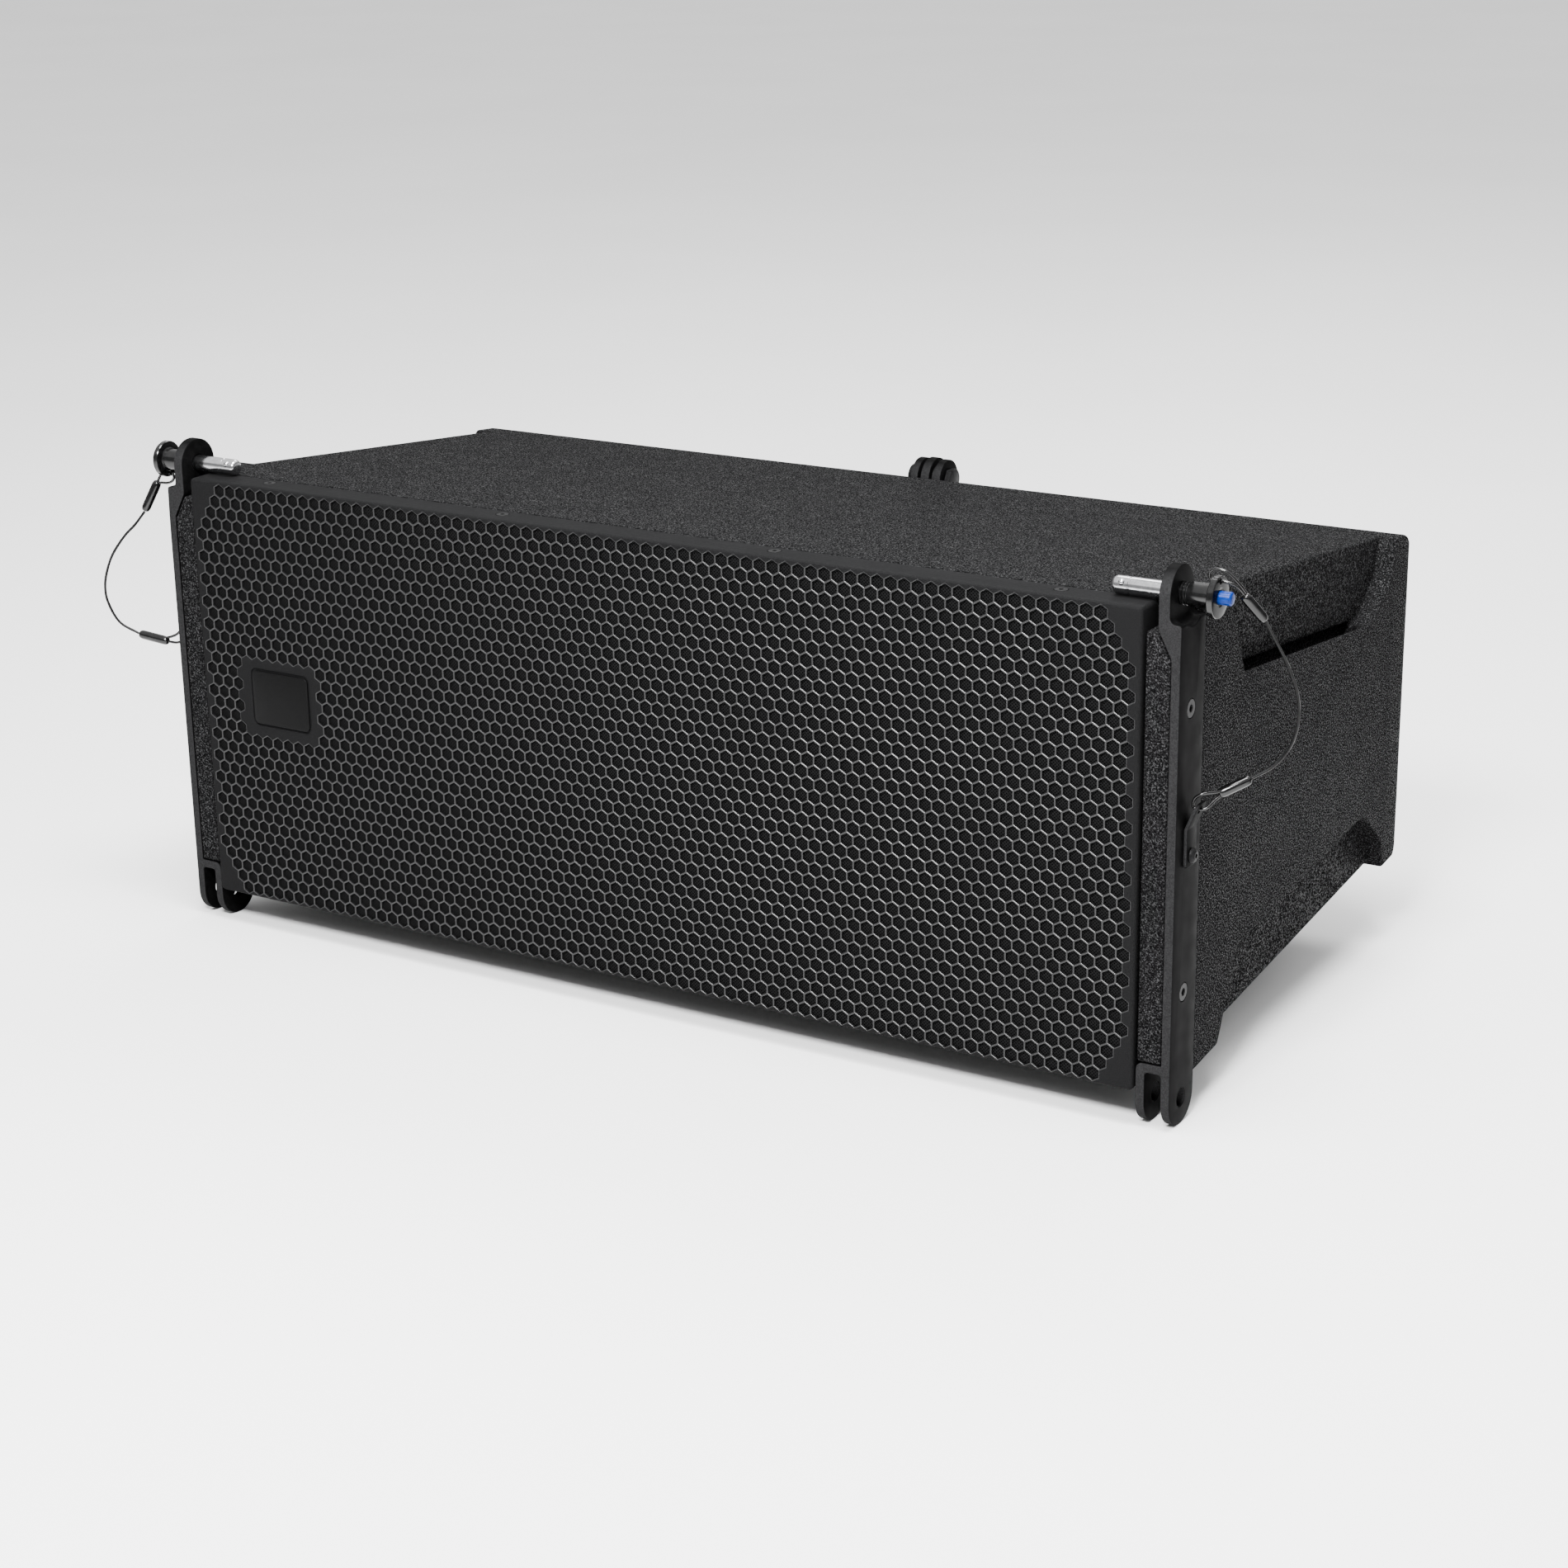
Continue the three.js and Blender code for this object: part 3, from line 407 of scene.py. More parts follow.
def coating():
    """Sprayed polyurea-like texture: rounded grains about a millimetre across, whose tops are painted lighter
    as a painted highlight of their glints.
    """
    s = Shader("textured_coating", gray(0.02), 0.5)
    grains = s.noise(0.85, 2.0, 0.55)
    fine = s.noise(0.4, 1.0)
    height = s.math("ADD", grains, s.math("MULTIPLY", fine, 0.3))
    tone = s.math("ADD", s.math("MULTIPLY", grains, 0.7), s.math("MULTIPLY", fine, 0.3))
    # The colour follows the grains: the lighter grain tops are a painted highlight standing in for the lamps'
    # glints on them; the rest is random mottling.
    s.drive("Base Color", s.ramp(tone, (0.42, gray(0.002)), (0.55, gray(0.0095)), (0.68, gray(0.042))))
    s.drive("Specular IOR Level", s.spread(tone, 0.53, 0.64, 0.0, 0.035))
    s.rough(s.noise(25, 4.0), 0.3, 0.4)
    s.bump(height, 0.4)
    return s.material


def powder_coat(name, tone, sheen, roughness):
    """Satin black powder coat with a fine orange peel."""
    s = Shader(name, gray(tone), roughness, Specular_IOR_Level=sheen)
    s.rough(s.noise(30, 4.0), roughness - 0.06, roughness + 0.06)
    s.tones(s.noise(0.5), gray(tone * 0.65), gray(tone * 1.35))
    s.bump(s.noise(0.45, 2.0, 0.6), 0.03, 0.6)
    return s.material


def black_steel():
    """Smooth matt black coat on the rigging steel, painted greyer on the faces that look front and back as a
    painted highlight of the key light's sheen.
    """
    s = Shader("rigging_black", gray(0.016), 0.44, Specular_IOR_Level=0.008)
    face = s.ramp(s.noise(4.0, 4.0), (0.3, gray(0.0015)), (0.7, gray(0.003)))
    # The faces that look front and back get a greyer colour: a painted highlight that stands in for the key
    # light's sheen on them.
    front_back_painted_highlight = s.ramp(s.noise(0.7, 3.0), (0.3, gray(0.008)), (0.7, gray(0.018)))
    s.drive("Base Color", s.blend(s.facing("Y", 0.4, 0.9), face, front_back_painted_highlight))
    s.rough(s.noise(8.0, 5.0), 0.38, 0.5)
    s.bump(s.noise(0.3), 0.012, 0.5)
    return s.material


def screw_black():
    s = Shader("black_oxide", gray(0.01), 0.36, Specular_IOR_Level=0.05)
    s.tones(s.noise(1.5, 3.0), gray(0.003), gray(0.009))
    s.rough(s.noise(1.0, 4.0), 0.28, 0.45)
    s.bump(s.noise(0.25), 0.01, 0.4)
    return s.material


def stainless():
    """Polished stainless steel with fine scratches round the shank."""
    s = Shader("polished_stainless", (0.72, 0.72, 0.73), 0.16, 1.0)
    scratches = s.noise(1.0, 5.0, 0.7, s.mapped((8.0, 0.35, 0.35)))
    s.rough(scratches, 0.1, 0.24)
    s.tones(s.noise(2.5, 3.0), (0.4, 0.4, 0.41), (0.55, 0.55, 0.56), 0.25)
    s.bump(scratches, 0.004, 0.4)
    return s.material


def gloss_black():
    """Glossy anodised black, with end faces that reflect less."""
    s = Shader("gloss_black", gray(0.003), 0.13)
    s.drive("Specular IOR Level", s.spread(s.facing("X", 0.7, 0.95), 0.0, 1.0, 0.4, 0.05))
    s.rough(s.noise(5.0, 4.0), 0.09, 0.2)
    s.tones(s.noise(3.0, 3.0), gray(0.001), gray(0.004))
    s.bump(s.noise(1.2), 0.01, 0.3)
    return s.material


def blue_button():
    s = Shader("blue_anodised", (0.01, 0.1, 0.45), 0.3, Specular_IOR_Level=0.12)
    s.tones(s.noise(1.5, 3.0), (0.0005, 0.01, 0.09), (0.0015, 0.022, 0.16))
    s.rough(s.noise(0.8, 3.0), 0.24, 0.38)
    s.bump(s.noise(0.3), 0.008, 0.4)
    return s.material


THREAD_PITCH = 1.35
WAVE_BANDS = 10 / math.pi  # bands in one unit of a wave texture whose scale is 1


def acoustic_cloth():
    """Open diagonal weave: two sets of threads at 45 degrees with dark gaps between them."""
    s = Shader("acoustic_cloth", gray(0.02), 0.8, Specular_IOR_Level=0.02)
    threads = []
    for turn in (math.radians(45), math.radians(-45)):
        node = s.pattern(
            "ShaderNodeTexWave", s.mapped(turn=(0, turn, 0)), Distortion=0.4, Detail=1.0, Detail_Scale=0.4,
            Scale=1 / (THREAD_PITCH * MM * WAVE_BANDS),
        )
        node.wave_type = "BANDS"
        node.bands_direction = "X"
        threads.append(node.outputs["Fac"])
    weave = s.math("MAXIMUM", *threads)
    s.tones(weave, gray(0.0003), gray(0.006), 0.35, 0.75)
    s.bump(weave, 0.25, 0.8)
    return s.material


def wire_coat():
    """Black plastic coat over a laid wire rope."""
    s = Shader("wire_coat", gray(0.004), 0.35, Specular_IOR_Level=0.15)
    s.rough(s.noise(2.0, 3.0), 0.28, 0.42)
    s.tones(s.noise(1.2), gray(0.001), gray(0.004))
    s.bump(s.noise(0.4), 0.02, 0.5)
    return s.material


def moulded(name, tone, rough=0.5, sheen=0.2):
    """Spark-textured black moulding."""
    s = Shader(name, gray(tone), rough, Specular_IOR_Level=sheen)
    s.tones(s.noise(0.8, 3.0), gray(tone * 0.75), gray(tone * 1.3))
    s.rough(s.noise(10.0, 3.0), rough - 0.07, rough + 0.07)
    s.bump(s.noise(0.22), 0.02, 0.6)
    return s.material


def plywood():
    s = Shader("painted_plywood", (0.05, 0.038, 0.026), 0.8)
    grain = s.noise(9.0, 5.0, 0.65, s.mapped((0.06, 1.0, 1.0)))
    s.tones(grain, (0.028, 0.02, 0.014), (0.075, 0.055, 0.036))
    s.rough(grain, 0.7, 0.9)
    s.bump(grain, 0.2, 0.5)
    return s.material


def cast_metal(name, tone, metallic, rough):
    s = Shader(name, gray(tone), rough, metallic)
    s.tones(s.noise(2.0, 4.0), gray(tone * 0.7), gray(tone * 1.3))
    s.rough(s.noise(4.0, 3.0), rough - 0.1, rough + 0.1)
    s.bump(s.noise(0.7, 3.0), 0.08, 0.6)
    return s.material


def cone_paper():
    """Treated paper pulp: short matted fibres."""
    s = Shader("cone_paper", gray(0.02), 0.75)
    fibres = s.noise(0.7, 5.0, 0.7, s.mapped((1.0, 1.0, 0.35)))
    s.tones(fibres, gray(0.012), gray(0.034))
    s.rough(fibres, 0.65, 0.85)
    s.bump(fibres, 0.08, 0.6)
    return s.material


def moulded_rubber():
    s = Shader("surround_rubber", gray(0.012), 0.55)
    s.tones(s.noise(3.0, 3.0), gray(0.009), gray(0.018))
    s.rough(s.noise(2.0, 3.0), 0.48, 0.62)
    s.bump(s.noise(0.5), 0.03, 0.5)
    return s.material


def spider_cloth():
    s = Shader("spider_cloth", (0.42, 0.24, 0.07), 0.85)
    weave = s.noise(0.6, 3.0, 0.6, s.mapped((1.0, 0.3, 1.0)))
    s.tones(weave, (0.3, 0.16, 0.04), (0.5, 0.3, 0.1))
    s.rough(weave, 0.75, 0.92)
    s.bump(weave, 0.06, 0.6)
    return s.material


def circuit_board():
    s = Shader("circuit_board", (0.02, 0.12, 0.04), 0.45)
    cells = s.pattern("ShaderNodeTexVoronoi", Scale=1 / (4 * MM))
    cells.feature = "SMOOTH_F1"
    s.tones(cells.outputs["Distance"], (0.012, 0.08, 0.025), (0.03, 0.16, 0.055), 0.2, 0.6)
    s.rough(s.noise(3.0, 3.0), 0.38, 0.55)
    s.bump(s.noise(1.5), 0.05, 0.4)
    return s.material


# A finish is a material and the name of its slot.
COATING = coating(), "coating"
POWDER = powder_coat("grille_powder_coat", 0.007, 0.006, 0.45), "grille_coat"
# A lighter, glossier copy of the powder coat for the hole rims: its lighter colour is a painted highlight for
# the rims catching the key light.
POWDER_RIM = powder_coat("grille_hole_rims", 0.009, 0.27, 0.3)
STEEL = black_steel(), "black_steel"
SCREW = screw_black(), "screw_steel"
STAINLESS = stainless(), "bright_steel"
GLOSS = gloss_black()
HANDLE, FERRULE = (GLOSS, "pin_handle"), (GLOSS, "ferrule")
BLUE = blue_button(), "pin_button"
CLOTH = acoustic_cloth(), "acoustic_cloth"
WIRE = wire_coat(), "wire_coat"
MOULDING = moulded("black_moulding", 0.01), "moulding"
BADGE_FACE = moulded("badge_face", 0.0025, 0.4, 0.04), "badge"
PLYWOOD = plywood(), "baffle_board"
CAST = cast_metal("cast_basket", 0.2, 0.8, 0.5), "cast_metal"
MAGNET = cast_metal("magnet_ferrite", 0.05, 0.4, 0.6), "magnet"
PAPER = cone_paper(), "cone"
RUBBER = moulded_rubber(), "surround"
SPIDER = spider_cloth(), "spider"
CIRCUIT = circuit_board(), "circuit"


def finish(piece, material, slot):
    """Gives a piece its one material. The slot is not used."""
    if piece.data.materials:
        piece.data.materials.clear()
    piece.data.materials.append(material)


def dress(name, piece, look, body, *nodes, angle=32.0):
    """Names and shades a piece, gives it the material of its finish, parents it to its body and hides the CAD
    nodes it stands for.
    """
    piece.name = name
    piece.data.name = name
    finish(shade(piece, angle), *look)
    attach(piece, body)
    if nodes:
        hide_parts(*nodes)
    return piece


SIDES = (("left", -1), ("right", 1))

# ---- lanyards

WIRE_RADIUS = 0.8
FERRULE_RADIUS = 2.75
ROUTES = {
    "right": {
        "upper_ferrule": [(355, 20, 137.1), (362.6, 29.2, 123.2)],
        "upper_eye": [
            (357, 22.2, 133.6), (352.5, 18.8, 140.8), (346.5, 17, 143.5), (342.3, 17, 143.5),
            (339, 17, 143.8), (337.8, 17, 146.4), (340, 17, 149), (346.5, 17.6, 148.4),
            (353.2, 19.6, 141.8), (357.8, 22.6, 133.8),
        ],
        "wire": [
            (362.8, 29.5, 122.7), (366.6, 35.4, 111), (371.2, 41.8, 96.5), (374.5, 45.7, 82.8),
            (375.2, 47, 69.7), (373.3, 46.3, 58.7), (369.4, 44.2, 50), (363.8, 41, 43.5),
            (355.8, 35.7, 38.3),
        ],
        "lower_ferrule": [(355.4, 35.4, 38), (342.6, 25.4, 30.8)],
        "lower_eye": [
            (346.4, 28.2, 32.6), (342.2, 22.8, 28.6), (339.4, 18.4, 25), (335.8, 17, 24),
            (332.7, 17, 25), (333.4, 17, 29.6), (337.4, 18.6, 32.2), (342.4, 23.4, 32.4),
            (346.4, 28, 33.4),
        ],
    },
    "left": {
        "upper_ferrule": [(-350.4, 16.4, 120.6), (-357.8, 10.8, 102.6)],
        "upper_eye": [
            (-351.8, 15, 116.6), (-349.4, 16.8, 122.8), (-346.5, 17, 126.7), (-342.3, 17, 126.9),
            (-339, 17, 126.6), (-337.8, 17, 124), (-339.8, 17, 121.4), (-343.6, 16.8, 120.1),
            (-349, 16, 119.6), (-352.4, 15, 115.6),
        ],
        "wire": [
            (-358, 10.6, 102), (-363.8, 7.6, 94), (-371.1, 5.3, 86.5), (-379.2, 3, 75.5),
            (-384.4, 2.1, 65), (-387.6, 2.1, 54.2), (-387.2, 2.9, 43.5), (-381.3, 5.4, 31),
            (-369.6, 9, 24.4),
        ],
        "lower_ferrule": [(-369, 9.2, 24.2), (-350.6, 14.6, 20.4)],
        "lower_eye": [
            (-355, 13.2, 21.2), (-346, 15.6, 20), (-340.4, 16.8, 21.8), (-335.8, 17, 24),
            (-332.7, 17, 25.2), (-333.6, 17, 29.6), (-338.4, 16.9, 31.2), (-345.4, 15.8, 25),
            (-355, 13.4, 21.6),
        ],
    },
}


def crimp(ferrule, eye):
    """A crimped sleeve on the end of a wire, with the wire's own eye."""
    bm = bmesh.new()
    tube(bm, smooth_path(eye, 48), [WIRE_RADIUS] * 48, 12)
    start, end = (Vector(p) for p in ferrule)
    length = (end - start).length
    direction = (end - start).normalized()
    shape = [
        (0.0, 0.5), (0.3, 0.7), (0.8, 0.84), (1.8, 0.94), (3.2, 1.0), (length * 0.5, 1.0),
        (length - 3.2, 1.0), (length - 1.8, 0.94), (length - 0.8, 0.84), (length - 0.3, 0.7),
        (length, 0.5),
    ]
    middles = [start + direction * along for along, _ in shape]
    tube(bm, middles, [FERRULE_RADIUS * share for _, share in shape], 28)
    return from_bmesh("crimp", bm)


for side, sign in SIDES:
    route = ROUTES[side]
    for place, body in (("upper", f"pin_{side}"), ("lower", "cabinet")):
        dress(
            f"lanyard_crimp_{place}_{side}", crimp(route[f"{place}_ferrule"], route[f"{place}_eye"]),
            FERRULE, body, f"lanyard_end_{place}_{side}", angle=45,
        )
    path = smooth_path(route["wire"], 90)
    bm = bmesh.new()
    tube(bm, path, [WIRE_RADIUS] * len(path), 24, twist=0.9, ripple=0.12)
    wire = shade(from_bmesh(f"lanyard_rope_{side}", bm), 60)
    finish(wire, *WIRE)
    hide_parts(f"lanyard_wire_{side}")
    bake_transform(wire)

# ---- grille

GRILLE_HALF = (310.0, 130.0)
GRILLE_DEPTH = 18.8
SHEET = 1.5
BEND = 2.0
PITCH = 7.98
ROWS, COLUMNS = 37, 77
STAIR_ROWS = 4
ROW_STEP = PITCH * math.sqrt(3) / 2
HOLE_APOTHEM = 3.49
LAND_APOTHEM = 3.74
EDGE_DROP = 0.2
BADGE = (-250.5, 0.5, 42.0, 33.0)  # middle x and z, width and height
BADGE_CORNER = 3.0
BADGE_MARGIN = 1.4
CORNER = 2.6
SCREW_X = (-259.0, -89.5, 89.5, 259.0)
SCREW_Y = 13.0
SINK_RADIUS, SINK_HOLE, SINK_STEPS = 4.5, 3.75, 31
SINK_END = 360 - 360 / (SINK_STEPS + 1)


def reach_of(line):
    """Half the width of one row of holes, in pitches. The corners step inwards."""
    from_edge = min(line, ROWS - 1 - line)
    return min(COLUMNS - 1 - STAIR_ROWS + from_edge, COLUMNS - 1 - line % 2) / 2


def near_badge(x, z):
    return abs(x - BADGE[0]) < 30 and abs(z - BADGE[1]) < 25


CELLS = {}
for line in range(ROWS):
    height = (line - (ROWS - 1) / 2) * ROW_STEP
    reach = reach_of(line)
    for k in range(round(2 * reach) + 1):
        across = (k - reach) * PITCH
        if not near_badge(across, height):
            CELLS[line, round(2 * across / PITCH)] = (across, height)


def in_cell(point):
    line = round(point.y / ROW_STEP + (ROWS - 1) / 2)
    step = round(2 * point.x / PITCH)
    for key in ((l, s) for l in (line - 1, line, line + 1) for s in range(step - 2, step + 3)):
        if key in CELLS:
            dx, dz = abs(point.x - CELLS[key][0]), abs(point.y - CELLS[key][1])
            if max(dx, dx / 2 + dz * math.sqrt(3) / 2) < PITCH / 2:
                return True
    return False


def hexagon(centre, apothem):
    return arc(centre, apothem * 2 / math.sqrt(3), 30, 330, 5)


def badge_outline(margin, steps=5):
    """The badge's outline, moved outwards."""
    x, z, width, height = BADGE
    across, tall = width / 2 + margin, height / 2 + margin
    corners = ((x - across, z - tall), (x + across, z - tall), (x + across, z + tall), (x - across, z + tall))
    return fillet([(*corner, BADGE_CORNER + margin) for corner in corners], steps)


class Welder:
    """Builds faces from drawing points and joins the corners that coincide."""

    def __init__(self):
        self.bm = bmesh.new()
        self.found = {}

    def corner(self, point):
        key = tuple(round(c, 3) for c in point)
        if key not in self.found:
            self.found[key] = self.bm.verts.new(row(point))
        return self.found[key]

    def face(self, points, material=0):
        corners = list(dict.fromkeys(self.corner(p) for p in points))
        if len(corners) > 2:
            self.bm.faces.new(corners).material_index = material

    def band(self, first, second, skip=(), material=0):
        """Quads between two closed loops of equally many points."""
        for k in range(len(first)):
            j = (k + 1) % len(first)
            if k not in skip:
                self.face([first[k], first[j], second[j], second[k]], material)

    def bands(self, loops):
        for first, second in zip(loops, loops[1:]):
            self.band(first, second)

    def fill(self, loops, edges, drop, place):
        """Triangles over a flat region. drop picks the ones to leave out."""
        points, index, pairs = [], {}, []

        def at(point):
            key = (round(point[0], 3), round(point[1], 3))
            if key not in index:
                index[key] = len(points)
                points.append(Vector(key))
            return index[key]

        for loop in loops:
            ids = [at(p) for p in loop]
            pairs += list(zip(ids, ids[1:] + ids[:1]))
        pairs += [(at(a), at(b)) for a, b in edges]
        found, _, triangles, *_ = geometry.delaunay_2d_cdt(points, pairs, [], 0, 1e-5)
        for triangle in triangles:
            middle = sum((found[i] for i in triangle), Vector((0, 0))) / 3
            if not drop(middle):
                self.face([place(found[i].x, found[i].y) for i in triangle])


def pan_ring(inset):
    """The grille's outline, moved inwards, as four short arcs."""
    radius = max(CORNER - inset, 0.3)
    points = []
    for k, (sx, sz) in enumerate(((1, 1), (-1, 1), (-1, -1), (1, -1))):
        centre = (sx * (GRILLE_HALF[0] - inset - radius), sz * (GRILLE_HALF[1] - inset - radius))
        points += arc(centre, radius, 90 * k, 90 * k + 90, 5)
    return points


def hole_field(weld):
    """The front, the walls and the back of every hexagonal cell. Returns the field's outer edges."""
    usage = {}
    for centre in CELLS.values():
        border = hexagon(centre, PITCH / 2)
        land, hole = hexagon(centre, LAND_APOTHEM), hexagon(centre, HOLE_APOTHEM)
        weld.band(at_depth(border, 0), at_depth(land, 0), material=1)
        weld.band(at_depth(land, 0), at_depth(hole, EDGE_DROP), material=1)
        weld.band(at_depth(hole, EDGE_DROP), at_depth(hole, SHEET))
        weld.band(at_depth(hole, SHEET), at_depth(border, SHEET))
        for a, b in zip(border, border[1:] + border[:1]):
            key = frozenset((round(p[0], 2), round(p[1], 2)) for p in (a, b))
            usage.setdefault(key, []).append((a, b))
    return [pairs[0] for pairs in usage.values() if len(pairs) == 1]


def quarter(steps):
    return [math.pi / 2 * k / steps for k in range(steps + 1)]


def sunk_flange(weld, a, b, k, outer_side, sign):
    """A long flat side of the flange, with a countersunk hole for each screw."""
    height = a[k][2]
    radius = SINK_RADIUS if outer_side else SINK_HOLE
    corners = [(p[0], p[1]) for p in (a[k], a[k + 1], b[k + 1], b[k])]
    rounds = [arc((x, SCREW_Y), radius, 0, SINK_END, SINK_STEPS) for x in SCREW_X]
    weld.fill(
        [corners] + rounds, [], lambda m: any((m - Vector((x, SCREW_Y))).length < radius for x in SCREW_X),
        lambda x, y: (x, y, height),
    )
    if not outer_side:
        return
    for x in SCREW_X:
        weld.bands([
            [(p.x, p.y, height - sign * drop) for p in arc((x, SCREW_Y), r, 0, SINK_END, SINK_STEPS)]
            for r, drop in ((SINK_RADIUS, 0.0), (4.1, 0.12), (SINK_HOLE, 0.5), (SINK_HOLE, SHEET))
        ])


def pan_wall(weld):
    """Bend and flange, from the front face round to the back face. Returns the front and back rings."""
    inner = BEND - SHEET
    profile = [(BEND - BEND * math.sin(t), BEND - BEND * math.cos(t)) for t in quarter(6)]
    profile += [(0.0, GRILLE_DEPTH - 0.3), (0.3, GRILLE_DEPTH), (SHEET - 0.3, GRILLE_DEPTH)]
    profile += [(SHEET, GRILLE_DEPTH - 0.3)]
    profile += [(BEND - inner * math.cos(t), BEND - inner * math.sin(t)) for t in quarter(3)]
    rings = [at_depth(pan_ring(inset), y) for inset, y in profile]
    outer_side, inner_side = 6, 10
    long_sides = (5, 17)
    for i, (a, b) in enumerate(zip(rings, rings[1:])):
        flat = i in (outer_side, inner_side)
        weld.band(a, b, long_sides if flat else ())
        if flat:
            for k, sign in zip(long_sides, (1, -1)):
                sunk_flange(weld, a, b, k, i == outer_side, sign)
    return rings[0], rings[-1]


def grille():
    weld = Welder()
    field_edges = hole_field(weld)
    front, back = pan_wall(weld)

    # Plain border, with the recess of the badge in it.
    recess = [
        at_depth(badge_outline(BADGE_MARGIN + grow), y)
        for grow, y in ((0.35, 0.0), (0.12, 0.1), (0.0, 0.35), (0.0, 0.9))
    ]
    rim = [Vector((p[0], p[2])) for p in recess[0]]
    weld.fill(
        [[(p[0], p[2]) for p in front], rim], field_edges,
        lambda m: in_cell(m) or in_loop(m, rim), lambda x, z: (x, 0, z),
    )
    weld.fill([[(p[0], p[2]) for p in back]], field_edges, in_cell, lambda x, z: (x, SHEET, z))
    weld.bands(recess)
    weld.face(recess[-1])
    bmesh.ops.remove_doubles(weld.bm, verts=weld.bm.verts, dist=3e-6)
    return from_bmesh("grille", weld.bm)


def in_loop(point, loop):
    """True if a point lies inside a convex loop."""
    turns = [(b - a).cross(point - a) for a, b in zip(loop, loop[1:] + loop[:1])]
    return all(t > 0 for t in turns) or all(t < 0 for t in turns)


grille_piece = dress("grille_perforated", grille(), POWDER, "cabinet", "front_grille", angle=30)
grille_piece.data.materials.append(POWDER_RIM)

plate = prism(badge_outline(0, 8), "y", -0.5, 0.6)
bevel(plate, 0.4, 3, where=lambda p: p.y < 0)
dress("badge_face", plate, BADGE_FACE, "cabinet", "badge_plate")

CLOTH_HALF = (307.8, 127.8)
cloth = block((-CLOTH_HALF[0], CLOTH_HALF[0]), (1.9, 2.5), (-CLOTH_HALF[1], CLOTH_HALF[1]))
bm = bmesh.new()
bm.from_mesh(cloth.data)
bmesh.ops.subdivide_edges(bm, edges=bm.edges, cuts=6, use_grid_fill=True)
bm.to_mesh(cloth.data)
bm.free()
dress("cloth_behind_grille", cloth, CLOTH, "cabinet", "grille_cloth")


def hex_socket(across, low, high, axis, centre):
    """A cutter for a hexagon socket."""
    reach = across / math.sqrt(3)
    points = [Vector(centre) + p for p in arc((0, 0), reach, 0, 300, 5)]
    return prism(points, axis, low, high)


for k, x in enumerate(SCREW_X, 1):
    for place, sign in (("top", 1), ("bottom", -1)):
        head = 129.9
        profile = [
            (0, -11), (1.7, -11), (1.9, -10.6), (1.9, -1.5), (3.45, -0.25), (3.55, -0.08), (3.45, 0), (0, 0),
        ]
        screw = lathe([(r, h * sign) for r, h in profile], "z", (x, SCREW_Y, head * sign), 40)
        cut(screw, hex_socket(2.4, (head - 1.1) * sign, (head + 2) * sign, "z", (x, SCREW_Y)))
        name = f"{place}_{k}"
        dress(f"face_screw_{name}", screw, SCREW, "cabinet", f"grille_screw_{name}")

# ---- cabinet

CABINET_FRONT, CABINET_BACK = 19.3, 334.5
SIDE_FACE = 329
WALL = 12
TAPER = 0.104
TAB_OUTER = 323.7
BAR_OUTER = 330.2
PIN_Y, PIN_Z = 17.0, 135.2
PIN_HOLE = 5.05
BAR_SCREW_Y = 16.5
BAR_SCREWS = (("upper", 76.5), ("lower", -76.0))
REAR_Y, PIVOT_Z, REAR_PIN_Z = 352.5, 92, -40.0


def surface(y):
    """Height of the sloping top above the cabinet's middle."""
    return 130.0 - TAPER * (y - CABINET_FRONT)


def section(front, back, wall=0):
    """The cabinet's side outline between two depths, inside a wall."""
    ends = ((front, -1), (back, -1), (back, 1), (front, 1))
    return [(y, sign * (surface(y) - wall)) for y, sign in ends]


def below(y, depth, *radius):
    return (y, surface(y) - depth, *radius)


def flip(points, up):
    return [(p[0], p[1] * up) for p in points]


def widen(piece, sign):
    """Turns a piece drawn on the right side to the given side."""
    if sign > 0:
        return piece
    other = mirrored(piece)
    bpy.data.objects.remove(piece)
    return other


def drill(centre, radius, low, high, chamfer=0.4, segments=48):
    """A cutter along x through a plate between low and high, with both rims chamfered."""
    return lathe([
        (0, low - 1), (radius + chamfer + 1, low - 1), (radius, low + chamfer),
        (radius, high - chamfer), (radius + chamfer + 1, high + 1), (0, high + 1),
    ], "x", (0, *centre), segments)


def on_front_rim(p):
    return p.y < 19.5 and abs(p.z) > 129 and abs(p.x) < 312


def on_open_edge(p):
    """True on the edges outside the front rim and outside the step behind the grille."""
    behind_grille = abs(p.x) < 309 and p.y < 19.5
    on_cheek_front = abs(p.x) > 309 and p.y < 2.5
    return on_cheek_front or p.y > 2.5 and not behind_grille and not on_front_rim(p)


